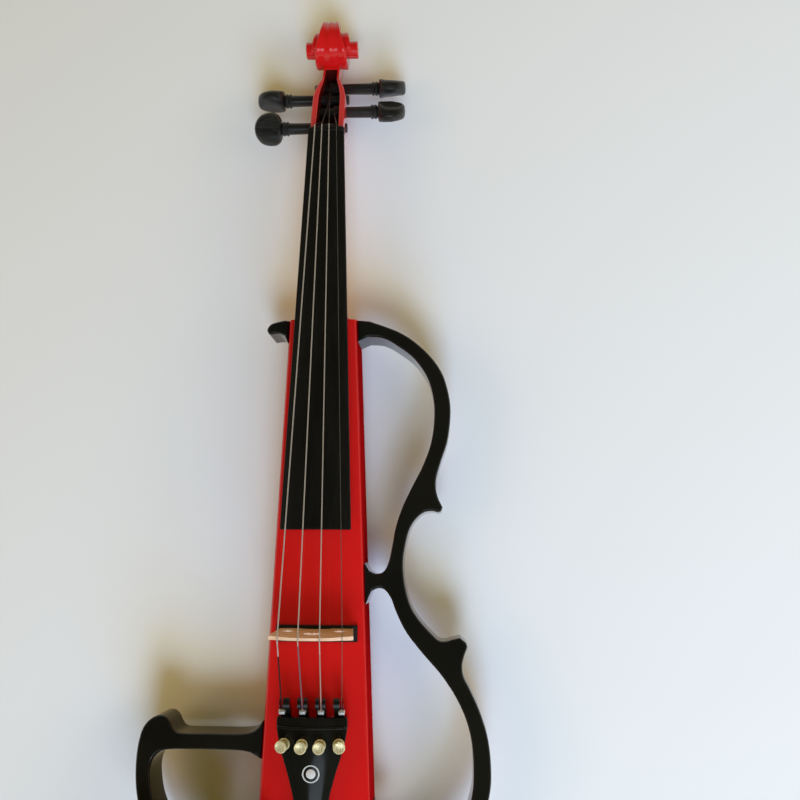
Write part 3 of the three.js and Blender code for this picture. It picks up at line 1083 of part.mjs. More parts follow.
// Fine tuner lever, drawn from its pivot: an arm under the tailpiece and a slotted claw that holds the ball end
function leverShape(i) {
  const reach = ([along, up]) => [along * LEVER_LENGTH, up * LEVER_DEPTH];
  const ballY = BALL_AHEAD + LEVER_PIVOT_BACK;
  const ballZ = LEVER_PIVOT_DROP - BALL_DROP;
  const seatZ = ballZ - BALL_RADIUS - SEAT_GAP;
  const clawY = ballY + BALL_RADIUS + SEAT_GAP;
  const claw = LEVER_CLAW_SHARES.map(reach);
  const seat = [[ballY - BALL_RADIUS * 1.3, LEVER_DEPTH * 0.19], [ballY - BALL_RADIUS * 0.9, seatZ], [clawY, seatZ], [clawY, claw[0][1] - SEAT_GAP * 2]];
  const outline = [...LEVER_ARM_SHARES.map(reach), ...seat, ...claw];
  const wide = prism(outline, (y, z, x) => vec(x, y, z), -LEVER_WIDTH / 2, LEVER_WIDTH / 2);
  const SIDES = 16;
  const hole = clearRadius(AXLE_RADIUS, SEAT_GAP, SIDES);
  const bore = towardsX(revolve([[0, -LEVER_WIDTH], [hole, -LEVER_WIDTH], [hole, LEVER_WIDTH], [0, LEVER_WIDTH]], SIDES), 1);
  const slot = boxBetween([slotShifts[i] - LEVER_SLOT / 2, clawY - SEAT_GAP, -LEVER_DEPTH], [slotShifts[i] + LEVER_SLOT / 2, LEVER_LENGTH, LEVER_DEPTH * 2]);
  // Behind the pivot only a narrow arm is left, under the screw's tip.
  const armX = -Math.sign(tunerX(i)) * (Math.abs(tunerX(i)) > TUNER_SPACING ? LEVER_OUTER_ARM_SHIFT : 0);
  const sides = [-1, 1].map((side) => boxBetween([armX + side * (LEVER_WIDTH + LEVER_ARM_WIDTH / 2) - LEVER_WIDTH, -LEVER_LENGTH, -LEVER_DEPTH],
    [armX + side * (LEVER_WIDTH + LEVER_ARM_WIDTH / 2) + LEVER_WIDTH, -AXLE_RADIUS * 2.6, LEVER_DEPTH]));
  return cut(wide, bore, slot, ...sides);
}

function ballEnd() {
  const SIDES = 10;
  const [r, half, round] = [BALL_RADIUS, BALL_LENGTH / 2, BALL_RADIUS / 3];
  return weld(towardsX(revolve([[0, -half], [r - round, -half], [r, -half + round], [r, half - round], [r - round, half], [0, half]], SIDES), 1));
}

function tunerScrew(i) {
  const SIDES = 18;
  const [armBack, armLow] = [LEVER_ARM_SHARES[2], LEVER_ARM_SHARES[1]];
  const along = (LEVER_PIVOT_BACK - SCREW_BACK) / LEVER_LENGTH;
  const armTop = -LEVER_PIVOT_DROP + LEVER_DEPTH * lerp(armLow[1], armBack[1], (along - armLow[0]) / (armBack[0] - armLow[0]));
  const tip = armTop + SEAT_GAP - tailTop(tunerX(i), SCREW_BACK);
  const [stem, body, head] = [SCREW_STEM_RADIUS, SCREW_BODY_RADIUS, SCREW_HEAD_RADIUS];
  const neck = SCREW_STAND - SCREW_HEAD_HEIGHT;
  const profile = [[0, tip], [stem * 0.6, tip], [stem, tip + stem / 2], [stem, SCREW_LIFT], [body, SCREW_LIFT], [body, neck - stem / 2], [body - stem / 4, neck - stem / 4],
    [head, neck], [head, SCREW_STAND - stem / 4], [head - stem / 4, SCREW_STAND], [0, SCREW_STAND]];
  const geometry = revolve(profile, SIDES);
  const at = geometry.attributes.position;
  for (let k = 0; k < at.count; k++) {
    const radius = Math.hypot(at.getX(k), at.getZ(k));
    const tooth = Math.round(Math.atan2(at.getX(k), at.getZ(k)) / (2 * Math.PI / SIDES));
    if (radius < body || tooth % 2 === 0) continue;
    const share = (radius - SCREW_KNURL) / radius;
    at.setX(k, at.getX(k) * share);
    at.setZ(k, at.getZ(k) * share);
  }
  return weld(towardsZ(geometry));
}

function leverAxle() {
  const SIDES = 16;
  const half = tailHalf(LEVER_PIVOT_BACK) - TAIL_DRAFT - SEAT_GAP;
  return weld(towardsX(revolve([[0, -half], [AXLE_RADIUS, -half], [AXLE_RADIUS, half], [0, half]], SIDES), 1));
}

// Saddle, end button and the tail gut that runs from the tailpiece over the saddle and round the button
const saddleTop = FRONT + SADDLE_PROUD;
const gutLineZ = saddleTop + SEAT_GAP + GUT_RADIUS;
const gutOutY = BODY_TAIL - SEAT_GAP - GUT_RADIUS;
const grooveY = BODY_TAIL - SEAT_GAP - BUTTON_COLLAR_LENGTH - BUTTON_GROOVE_LENGTH / 2;

function saddle() {
  const STEPS = 4;
  const [low, high] = [BODY_TAIL + SEAT_GAP, BODY_TAIL + SADDLE_LENGTH];
  const bottom = FRONT - SADDLE_BED + SEAT_GAP;
  const outline = [[low, bottom]];
  for (let i = 0; i <= STEPS; i++) {
    const turn = Math.PI / 2 * i / STEPS;
    outline.push([low + SADDLE_ROUND * (1 - Math.cos(turn)), saddleTop - SADDLE_ROUND * (1 - Math.sin(turn))]);
  }
  outline.push([high - SADDLE_ROUND, saddleTop], [high, saddleTop - SADDLE_PROUD / 2], [high, bottom]);
  return prism(outline, (y, z, x) => vec(x, y, z), -SADDLE_WIDTH / 2, SADDLE_WIDTH / 2);
}

function endButton() {
  const SIDES = 16;
  const end = -SEAT_GAP - BUTTON_COLLAR_LENGTH - BUTTON_GROOVE_LENGTH - BUTTON_HEAD_LENGTH;
  const head = -SEAT_GAP - BUTTON_COLLAR_LENGTH - BUTTON_GROOVE_LENGTH;
  const collar = -SEAT_GAP - BUTTON_COLLAR_LENGTH;
  const profile = [[0, end], [BUTTON_HEAD_RADIUS * 0.6, end], [BUTTON_HEAD_RADIUS * 0.92, end + BUTTON_HEAD_LENGTH / 4],
    [BUTTON_HEAD_RADIUS, end + BUTTON_HEAD_LENGTH * 0.6], [BUTTON_HEAD_RADIUS, head], [BUTTON_GROOVE_RADIUS, head],
    [BUTTON_GROOVE_RADIUS, collar], [BUTTON_COLLAR_RADIUS, collar], [BUTTON_COLLAR_RADIUS, -SEAT_GAP], [BUTTON_STEM_RADIUS, -SEAT_GAP],
    [BUTTON_STEM_RADIUS, BUTTON_STEM_LENGTH], [0, BUTTON_STEM_LENGTH]];
  return weld(revolve(profile, SIDES).translate(0, BODY_TAIL, buttonZ));
}

function tailGut() {
  const SIDES = 6;
  const BEND_STEPS = 5;
  const LOOP_STEPS = 12;
  const start = inTail(GUT_SPREAD / 2, -tailLength + GUT_SOCKET, -TAIL_END_DEPTH / 2);
  const exit = inTail(GUT_SPREAD / 2, -tailLength - GUT_RADIUS, -TAIL_END_DEPTH / 2);
  const bend = SADDLE_ROUND + GUT_RADIUS + SEAT_GAP;
  const loop = BUTTON_GROOVE_RADIUS + SEAT_GAP + GUT_RADIUS;
  const bendY = BODY_TAIL + SEAT_GAP + SADDLE_ROUND;
  const bendZ = saddleTop - SADDLE_ROUND;
  const half = [start, exit];
  for (let i = 0; i <= BEND_STEPS; i++) {
    const turn = Math.PI / 2 * i / BEND_STEPS;
    half.push(vec(GUT_SPREAD / 2, bendY - bend * Math.sin(turn), bendZ + bend * Math.cos(turn)));
  }
  const lower = FRONT - SADDLE_BED;
  half.push(vec(GUT_SPREAD / 2, bendY - bend, lower));
  half.push(vec(loop, grooveY, buttonZ + loop / 2));
  const round = [];
  for (let i = 0; i <= LOOP_STEPS; i++) {
    const turn = -Math.PI * i / LOOP_STEPS;
    round.push(vec(loop * Math.cos(turn), grooveY, buttonZ + loop * Math.sin(turn)));
  }
  const other = half.map((p) => vec(-p.x, p.y, p.z)).reverse();
  return bar([...half, ...round, ...other], GUT_RADIUS, SIDES);
}

// Controls
function controlPlate() {
  const SIDES = 16;
  const inner = plateFloor + SEAT_GAP;
  const plate = boxBetween([inner, CONTROL_Y - PLATE_LENGTH / 2, CONTROL_HEIGHT - PLATE_WIDTH / 2],
    [inner + PLATE_THICKNESS, CONTROL_Y + PLATE_LENGTH / 2, CONTROL_HEIGHT + PLATE_WIDTH / 2]);
  const wide = clearRadius(KNOB_SHAFT_RADIUS, SEAT_GAP, SIDES);
  const holes = [-1, 1].map((side) => towardsX(revolve([[0, -CUT_OVERRUN], [wide, -CUT_OVERRUN], [wide, PLATE_THICKNESS + CUT_OVERRUN],
    [0, PLATE_THICKNESS + CUT_OVERRUN]], SIDES), 1).translate(inner, CONTROL_Y + side * KNOB_SPREAD, CONTROL_HEIGHT));
  const slotHalf = (SWITCH_THUMB + SWITCH_TRAVEL) / 2 + RUNNING_GAP;
  const slot = boxBetween([inner - CUT_OVERRUN, CONTROL_Y - slotHalf, CONTROL_HEIGHT - SWITCH_WIDTH / 2 - RUNNING_GAP],
    [inner + PLATE_THICKNESS + CUT_OVERRUN, CONTROL_Y + slotHalf, CONTROL_HEIGHT + SWITCH_WIDTH / 2 + RUNNING_GAP]);
  return cut(plate, ...holes, slot);
}

function knob() {
  const SIDES = 18;
  const foot = PLATE_THICKNESS + KNOB_LIFT;
  const [r, h] = [KNOB_RADIUS, KNOB_HEIGHT];
  const profile = [[0, 0], [KNOB_SHAFT_RADIUS, 0], [KNOB_SHAFT_RADIUS, foot], [r, foot], [r, foot + h * 0.12], [r * 0.93, foot + h * 0.2],
    [r * 0.88, foot + h * 0.9], [r * 0.80, foot + h], [0, foot + h]];
  const geometry = revolve(profile, SIDES);
  const at = geometry.attributes.position;
  for (let k = 0; k < at.count; k++) {
    const radius = Math.hypot(at.getX(k), at.getZ(k));
    const tooth = Math.round(Math.atan2(at.getX(k), at.getZ(k)) / (2 * Math.PI / SIDES));
    const gripped = radius > r * 0.78 && at.getY(k) > foot + h * 0.15;
    if (!gripped || tooth % 2 === 0) continue;
    const share = (radius - KNOB_KNURL) / radius;
    at.setX(k, at.getX(k) * share);
    at.setZ(k, at.getZ(k) * share);
  }
  return weld(towardsX(geometry, 1));
}

function powerSwitch() {
  const half = SWITCH_THUMB / 2;
  const thumb = boxBetween([-SWITCH_FLANGE / 2, -half, -SWITCH_WIDTH / 2],
    [SEAT_GAP + PLATE_THICKNESS + SWITCH_PROUD, half, SWITCH_WIDTH / 2]);
  const lip = SWITCH_FLANGE_LIP;
  const flange = boxBetween([-SWITCH_FLANGE, -half - lip, -SWITCH_WIDTH / 2 - RUNNING_GAP - lip], [0, half + lip, SWITCH_WIDTH / 2 + RUNNING_GAP + lip]);
  return join(thumb, flange);
}

function preampBoard() {
  const SIDES = 16;
  const face = plateFloor - SEAT_GAP;
  const board = boxBetween([face - POT_DEPTH - BOARD_THICKNESS_PREAMP, CONTROL_Y - BOARD_LENGTH_PREAMP / 2, CONTROL_HEIGHT - BOARD_WIDTH_PREAMP / 2],
    [face - POT_DEPTH, CONTROL_Y + BOARD_LENGTH_PREAMP / 2, CONTROL_HEIGHT + BOARD_WIDTH_PREAMP / 2]);
  const pots = [-1, 1].map((side) => towardsX(revolve([[0, -POT_DEPTH - BOARD_THICKNESS_PREAMP / 2], [POT_RADIUS, -POT_DEPTH - BOARD_THICKNESS_PREAMP / 2],
    [POT_RADIUS, 0], [0, 0]], SIDES), 1).translate(face, CONTROL_Y + side * KNOB_SPREAD, CONTROL_HEIGHT));
  return join(board, ...pots);
}

function jack(face, y, flangeRadius, barrelRadius, barrelLength, boreRadius) {
  const SIDES = 20;
  const top = SEAT_GAP + JACK_FLANGE_THICKNESS;
  const profile = [[0, -barrelLength], [barrelRadius, -barrelLength], [barrelRadius, SEAT_GAP], [flangeRadius, SEAT_GAP],
    [flangeRadius, top - JACK_FLANGE_THICKNESS / 3], [flangeRadius - JACK_FLANGE_THICKNESS / 3, top], [boreRadius, top],
    [boreRadius, -barrelLength + JACK_END_WALL], [0, -barrelLength + JACK_END_WALL]];
  return weld(towardsX(revolve(profile, SIDES), -1).translate(-face, y, JACK_HEIGHT));
}

function battery() {
  const SIDES = 14;
  const bottom = doorCeiling + SEAT_GAP;
  const end = BATTERY_Y + bayHalfLength - SEAT_GAP - BATTERY_STUD_HEIGHT;
  const can = boxBetween([-BATTERY_WIDTH / 2, end - BATTERY_LENGTH, bottom], [BATTERY_WIDTH / 2, end, bottom + BATTERY_THICKNESS]);
  const studs = [-1, 1].map((side) => revolve([[0, -BATTERY_STUD_HEIGHT], [BATTERY_STUD_RADIUS, -BATTERY_STUD_HEIGHT],
    [BATTERY_STUD_RADIUS, BATTERY_STUD_HEIGHT], [0, BATTERY_STUD_HEIGHT]], SIDES)
    .translate(side * BATTERY_STUD_SPACING / 2, end, bottom + BATTERY_THICKNESS / 2));
  return join(can, ...studs);
}

// Battery door, drawn from its hinge axis
function batteryDoor() {
  const SIDES = 14;
  const low = DOOR_INSET - DOOR_PIN_HEIGHT;
  const leaf = boxBetween([-doorHalfWidth, doorBottom - doorPivotY, low], [doorHalfWidth, 0, low + DOOR_THICKNESS]);
  const pin = towardsX(revolve([[0, -doorHalfWidth], [DOOR_PIN_RADIUS, -doorHalfWidth], [DOOR_PIN_RADIUS, doorHalfWidth],
    [0, doorHalfWidth]], SIDES), 1);
  return join(leaf, pin);
}

// Chin rest: cup on a cork-shod foot, and a clamp drawn in a frame turned along the loop's lower edge
function lowerEdge(x) {
  const points = [coreSeat(TAIL_JOINT_SHARES[1]), ...[...loopOuter].reverse()];
  const row = points.findIndex(([across], i) => across <= x && points[i + 1][0] >= x);
  const [low, high] = [points[row], points[row + 1]];
  return vec(-x, lerp(low[1], high[1], (x - low[0]) / (high[0] - low[0])), 0);
}

const clampX = lerp(coreSeat(TAIL_JOINT_SHARES[1])[0], LOOP_REACH, CLAMP_ACROSS_SHARE);
const edgeRun = lowerEdge(clampX - CLAMP_SPACING / 2).sub(lowerEdge(clampX + CLAMP_SPACING / 2));
const clampGroup = new THREE.Group();
clampGroup.position.copy(lowerEdge(clampX));
clampGroup.rotation.z = Math.atan2(edgeRun.y, edgeRun.x);
clampGroup.updateMatrixWorld(true);
const padTop = FRAME_FRONT + SEAT_GAP + CORK_THICKNESS;
const footBottom = padTop + SEAT_GAP;
const bracketTop = footBottom + CLAMP_PLATE;
const cupFloor = FRONT + CHIN_STAND;
const cupX = -CHIN_ACROSS_SHARE * LOOP_REACH;
const cupY = alongBody(CHIN_ALONG_SHARE);

function chinCup() {
  const SIDES = 24;
  const bowl = towardsZ(revolve(CHIN_SHARES.map(([across, up]) => [across, up]), SIDES));
  const at = bowl.attributes.position;
  for (let k = 0; k < at.count; k++) {
    const [x, y, z] = [at.getX(k), at.getY(k), at.getZ(k)];
    // The rim stands highest on the outer side and dips where the jaw leaves it.
    const rise = 1 - 0.28 * x * Math.hypot(x, y);
    const wide = CHIN_WIDTH / 2 * (1 + 0.08 * x);
    at.setXYZ(k, cupX + x * CHIN_LENGTH / 2, cupY + y * wide, cupFloor + z * CHIN_HEIGHT * rise);
  }
  const foot = boxBetween([-CLAMP_LENGTH / 2, SEAT_GAP, footBottom], [CLAMP_LENGTH / 2, CLAMP_FOOT_DEPTH, cupFloor + CHIN_HEIGHT * 0.16]);
  const lug = boxBetween([-CLAMP_LENGTH / 2, -CLAMP_ROD_OFFSET - CLAMP_EDGE, bracketTop + SEAT_GAP],
    [CLAMP_LENGTH / 2, SEAT_GAP * 2, cupFloor + CHIN_HEIGHT * 0.16]);
  const placed = (geometry) => geometry.applyMatrix4(clampGroup.matrixWorld);
  return join(bowl, placed(foot), placed(lug));
}

const clampRod = (side, low, high) => {
  const SIDES = 12;
  return towardsZ(revolve([[0, low], [CLAMP_ROD_RADIUS, low], [CLAMP_ROD_RADIUS, high], [0, high]], SIDES))
    .translate(side * CLAMP_SPACING / 2, -CLAMP_ROD_OFFSET, 0);
};

function upperBracket() {
  const plate = boxBetween([-CLAMP_LENGTH / 2, -CLAMP_ROD_OFFSET - CLAMP_EDGE, footBottom], [CLAMP_LENGTH / 2, -CLAMP_ROD_OFFSET + CLAMP_EDGE, bracketTop]);
  const top = BARREL_RISE + BARREL_LENGTH;
  return join(plate, clampRod(-1, top - ROD_GRIP, bracketTop - CLAMP_PLATE / 2), clampRod(1, top - ROD_GRIP, bracketTop - CLAMP_PLATE / 2));
}

const lowerPadBottom = FRAME_BACK - SEAT_GAP - CORK_THICKNESS;

function lowerBracket() {
  const top = lowerPadBottom - SEAT_GAP;
  const plate = boxBetween([-CLAMP_LENGTH / 2, -CLAMP_ROD_OFFSET - CLAMP_EDGE, top - CLAMP_PLATE], [CLAMP_LENGTH / 2, CLAMP_FOOT_DEPTH, top]);
  const grip = BARREL_RISE + ROD_GRIP;
  return join(plate, clampRod(-1, top - CLAMP_PLATE / 2, grip), clampRod(1, top - CLAMP_PLATE / 2, grip));
}

function corkPad(bottom) {
  return boxBetween([-CLAMP_LENGTH / 2, SEAT_GAP, bottom], [CLAMP_LENGTH / 2, CLAMP_FOOT_DEPTH, bottom + CORK_THICKNESS]);
}

function clampBarrel() {
  const SIDES = 16;
  const chamfer = (BARREL_RADIUS - BARREL_BORE_RADIUS) / 3;
  const [r, b, length] = [BARREL_RADIUS, clearRadius(BARREL_BORE_RADIUS, 0, SIDES), BARREL_LENGTH];
  return weld(towardsZ(revolve([[b, 0], [r - chamfer, 0], [r, chamfer], [r, length - chamfer], [r - chamfer, length], [b, length], [b, 0]], SIDES)));
}

// Assembly
const violin = new THREE.Group();

function add(parent, name, geometry, material, place = vec(0, 0, 0)) {
  const mesh = new THREE.Mesh(geometry, material);
  mesh.name = name;
  mesh.position.copy(place);
  parent.add(mesh);
  return mesh;
}

add(violin, 'body_core', coreBody(), redLacquer);
add(violin, 'neck_and_scroll', neckAndScroll(), redLacquer);
add(violin, 'fingerboard', fingerboard(), boardBlack);
add(violin, 'upper_nut', upperNut(), ebony);
add(violin, 'right_frame', rightFrame(), blackGloss);
add(violin, 'left_loop', leftLoop(), blackGloss);
add(violin, 'upper_horn', upperHorn(), blackGloss);
add(violin, 'piezo_pickup', pickup(), blackPlastic);
add(violin, 'bridge', bridgeShape(), maple);

violin.add(tailGroup);
add(tailGroup, 'tailpiece', tailpiece(), blackGloss);
add(tailGroup, 'tailpiece_fret', tailpieceFret(), blackGloss);
add(tailGroup, 'eye_ring', eyeRing(), steel);
add(tailGroup, 'eye_dot', eyeDot(), pearl);
const pivot = vec(0, -LEVER_PIVOT_BACK, -LEVER_PIVOT_DROP);
add(tailGroup, 'lever_axle', leverAxle(), steel, pivot);
stringNames.forEach((name, i) => {
  add(tailGroup, `tuner_lever_${name}`, leverShape(i), blackGloss, vec(tunerX(i), pivot.y, pivot.z));
  add(tailGroup, `ball_end_${name}`, ballEnd(), steel, vec(ballX(i), BALL_AHEAD, -BALL_DROP));
  const screw = add(tailGroup, `tuner_screw_${name}`, tunerScrew(i), brass);
  screw.applyMatrix4(tunerScrewMatrix(i));
});

stringNames.forEach((name, i) => {
  const peg = add(violin, `peg_${name}`, pegShape(i), ebony, pegAxis(i));
  peg.rotation.x = rad(pegTurns[i]);
  add(violin, `string_winding_${name}`, windingShape(i), silverWire, pegAxis(i));
  add(violin, `string_${name}`, stringShape(i), silverWire);
});

add(violin, 'saddle', saddle(), ebony);
add(violin, 'end_button', endButton(), ebony);
add(violin, 'tail_gut', tailGut(), nylon);

add(violin, 'control_plate', controlPlate(), blackPlastic);
add(violin, 'volume_knob', knob(), blackPlastic, vec(plateFloor + SEAT_GAP, CONTROL_Y + KNOB_SPREAD, CONTROL_HEIGHT));
add(violin, 'tone_knob', knob(), blackPlastic, vec(plateFloor + SEAT_GAP, CONTROL_Y - KNOB_SPREAD, CONTROL_HEIGHT));
add(violin, 'power_switch', powerSwitch(), steel, vec(plateFloor, CONTROL_Y - SWITCH_TRAVEL / 2, CONTROL_HEIGHT));
add(violin, 'preamp_board', preampBoard(), circuitGreen);
add(violin, 'output_jack', jack(outputFace, OUTPUT_JACK_Y, OUTPUT_FLANGE_RADIUS, OUTPUT_BARREL_RADIUS, OUTPUT_BARREL_LENGTH, OUTPUT_BORE_RADIUS), steel);
add(violin, 'headphone_jack', jack(headphoneFace, HEADPHONE_JACK_Y, HEADPHONE_FLANGE_RADIUS, HEADPHONE_BARREL_RADIUS, HEADPHONE_BARREL_LENGTH, HEADPHONE_BORE_RADIUS), steel);
add(violin, 'battery', battery(), batteryGrey);
add(violin, 'battery_door', batteryDoor(), blackPlastic, vec(0, doorPivotY, DOOR_PIN_HEIGHT));

add(violin, 'chin_rest_cup', chinCup(), ebony);
violin.add(clampGroup);
add(clampGroup, 'chin_rest_upper_bracket', upperBracket(), steel);
add(clampGroup, 'chin_rest_lower_bracket', lowerBracket(), steel);
add(clampGroup, 'chin_rest_upper_pad', corkPad(FRAME_FRONT + SEAT_GAP), cork);
add(clampGroup, 'chin_rest_lower_pad', corkPad(lowerPadBottom), cork);
add(clampGroup, 'chin_rest_barrel_left', clampBarrel(), steel, vec(-CLAMP_SPACING / 2, -CLAMP_ROD_OFFSET, BARREL_RISE));
add(clampGroup, 'chin_rest_barrel_right', clampBarrel(), steel, vec(CLAMP_SPACING / 2, -CLAMP_ROD_OFFSET, BARREL_RISE));

export default violin;
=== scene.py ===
"""Looks of a full-size electric violin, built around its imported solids.

Sizes are in millimetres in the frame of the part: +Y runs from the tail to the scroll, +Z from the back to
the strings and +X to the E-string side. Workshop.piece turns them into metres.
"""

import json
import logging
import math
from collections.abc import Callable, Sequence
from dataclasses import dataclass, field
from enum import Enum

import bmesh
import bpy
import numpy as np
from mathutils import Matrix, Vector
from mathutils.geometry import tessellate_polygon

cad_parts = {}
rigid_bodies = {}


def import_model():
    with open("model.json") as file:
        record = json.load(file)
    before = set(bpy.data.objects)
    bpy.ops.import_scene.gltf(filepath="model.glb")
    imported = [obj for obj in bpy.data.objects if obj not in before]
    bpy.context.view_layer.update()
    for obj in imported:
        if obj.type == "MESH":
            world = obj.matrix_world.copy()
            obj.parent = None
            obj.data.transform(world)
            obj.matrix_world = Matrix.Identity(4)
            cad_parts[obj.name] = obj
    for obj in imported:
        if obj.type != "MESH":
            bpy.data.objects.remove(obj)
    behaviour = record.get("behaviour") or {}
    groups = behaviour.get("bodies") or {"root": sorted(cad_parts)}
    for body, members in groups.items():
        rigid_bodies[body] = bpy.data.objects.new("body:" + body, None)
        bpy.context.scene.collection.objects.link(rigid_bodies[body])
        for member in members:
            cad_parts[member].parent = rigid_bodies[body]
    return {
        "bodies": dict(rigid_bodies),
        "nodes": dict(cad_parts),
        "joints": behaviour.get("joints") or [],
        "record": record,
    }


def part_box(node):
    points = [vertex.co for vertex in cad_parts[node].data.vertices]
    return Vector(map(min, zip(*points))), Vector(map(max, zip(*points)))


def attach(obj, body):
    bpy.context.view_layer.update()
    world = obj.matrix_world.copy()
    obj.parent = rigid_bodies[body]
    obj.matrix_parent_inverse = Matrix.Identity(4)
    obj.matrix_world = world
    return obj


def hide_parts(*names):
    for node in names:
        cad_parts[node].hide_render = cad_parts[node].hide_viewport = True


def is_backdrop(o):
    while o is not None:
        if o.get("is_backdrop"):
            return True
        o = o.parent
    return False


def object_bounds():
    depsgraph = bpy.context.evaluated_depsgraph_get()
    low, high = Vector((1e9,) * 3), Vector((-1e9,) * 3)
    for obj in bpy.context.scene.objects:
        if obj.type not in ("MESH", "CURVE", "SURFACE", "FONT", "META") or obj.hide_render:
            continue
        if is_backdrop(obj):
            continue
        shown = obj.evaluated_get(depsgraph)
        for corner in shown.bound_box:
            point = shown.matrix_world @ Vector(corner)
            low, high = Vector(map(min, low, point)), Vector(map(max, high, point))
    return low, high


LOG = logging.getLogger("violin")
MM = 0.001
X_AXIS = Vector((1, 0, 0))
Z_AXIS = Vector((0, 0, 1))

Rows = Sequence[Sequence[float]]
Outline = list[tuple[float, float]]
Colour = tuple[float, float, float]
Socket = bpy.types.NodeSocket


class StringName(Enum):
    """The four strings, from the lowest to the highest."""

    G = 0
    D = 1
    A = 2
    E = 3

    @property
    def key(self) -> str:
        """The letter that node and body names carry."""
        return self.name.lower()

    @property
    def side(self) -> int:
        """The side of the pegbox that the string's peg head is on."""
        return -1 if self in (StringName.G, StringName.D) else 1


@dataclass(frozen=True)
class Plan:
    """Main sizes that several sub-assemblies share, and places worked out from them."""

    string_length: float = 324.5
    body_length: float = 356.0
    stop_share: float = 0.5534
    depth: float = 46.0
    core_neck_width: float = 43.7
    core_tail_width: float = 71.5
    seat_gap: float = 0.3
    nut_thickness: float = 4.0
    eye_reach: float = 70.5
    eye_drop: float = 25.5

    @property
    def top(self) -> float:
        """Upper end of the body."""
        return self.body_length * self.stop_share

    @property
    def tail(self) -> float:
        """Lower end of the body."""
        return self.top - self.body_length

    @property
    def nut_back(self) -> float:
        """Scroll side of the upper nut."""
        return self.string_length + self.nut_thickness

    @property
    def eye(self) -> tuple[float, float]:
        """Place of the scroll's eye along and up."""
        return self.nut_back + self.eye_reach, self.depth - self.eye_drop

    def along(self, share: float) -> float:
        """Place along the body at a share of its length from the upper end."""
        return self.top - share * self.body_length

    def core_half(self, y: float) -> float:
        """Half width of the core at a place along the body."""
        share = (self.top - y) / self.body_length
        return lerp(self.core_neck_width, self.core_tail_width, share) / 2


def lerp(low: float, high: float, share: float) -> float:
    """Value at a share of the way from low to high."""
    return low + (high - low) * share


def smoothstep(at: float, low: float, high: float) -> float:
    """Smooth rise from 0 at low to 1 at high."""
    share = min(1.0, max(0.0, (at - low) / (high - low)))
    return share * share * (3 - 2 * share)


def read_table(table: Rows, at: float) -> list[float]:
    """Reads a table of rows at a value of its first column, straight between rows.

    Args:
        table: rows whose first value rises.
        at: the value to read at.

    Returns:
        The other columns' values there.
    """
    stations = [row[0] for row in table]
    return [float(np.interp(at, stations, [row[i] for row in table])) for i in range(1, len(table[0]))]


def read_smooth(table: Rows, at: float) -> list[float]:
    """Reads a table as read_table does, on a curve that eases through its rows.

    Args:
        table: rows whose first value rises.
        at: the value to read at.

    Returns:
        The other columns' values there.
    """
    at = min(max(at, table[0][0]), table[-1][0])
    last = len(table) - 1
    row = next((k for k in range(last) if table[k + 1][0] >= at), last - 1)
    low, high = table[row], table[row + 1]
    run = high[0] - low[0]
    t = (at - low[0]) / run

    def rise(k: int, column: int) -> float:
        """Slope of a column between row k and the next."""
        return (table[k + 1][column] - table[k][column]) / (table[k + 1][0] - table[k][0])

    def slope(k: int, column: int) -> float:
        """Slope of a column at row k, flat where it turns back."""
        if k in (0, last):
            return rise(min(k, last - 1), column)
        before, after = rise(k - 1, column), rise(k, column)
        return 2 * before * after / (before + after) if before * after > 0 else 0.0

    values = []
    for column in range(1, len(table[0])):
        start, end = slope(row, column) * run, slope(row + 1, column) * run
        eased = (2 * t**3 - 3 * t**2 + 1) * low[column] + (3 * t**2 - 2 * t**3) * high[column]
        values.append(eased + (t**3 - 2 * t**2 + t) * start + (t**3 - t**2) * end)
    return values


def spline(points: Rows, steps: int) -> list[tuple[float, ...]]:
    """Draws a smooth curve through points.

    Args:
        points: the points it passes, of any dimension.
        steps: pieces between two neighbouring points.

    Returns:
        The curve's points, both ends included.
    """
    rows = [np.array(p, float) for p in points]
    curve = []
    for before, start, end, after in zip([rows[0], *rows], rows, rows[1:], [*rows[2:], rows[-1]]):
        v0, v1 = (end - before) / 2, (after - start) / 2
        bend, lean = 2 * start - 2 * end + v0 + v1, -3 * start + 3 * end - 2 * v0 - v1
        shares = [k / steps for k in range(steps)]
        curve += [tuple(bend * t**3 + lean * t**2 + v0 * t + start) for t in shares]
    return [*curve, tuple(rows[-1])]


def arc(centre: tuple[float, float], radius: float, start: float, end: float, steps: int) -> Outline:
    """Points on a circle's arc.

    Args:
        centre: the circle's centre.
        radius: its radius.
        start: first angle in degrees.
        end: last angle in degrees.
        steps: pieces of the arc.

    Returns:
        The points, both ends included.
    """
    angles = [math.radians(lerp(start, end, k / steps)) for k in range(steps + 1)]
    return [(centre[0] + radius * math.cos(a), centre[1] + radius * math.sin(a)) for a in angles]


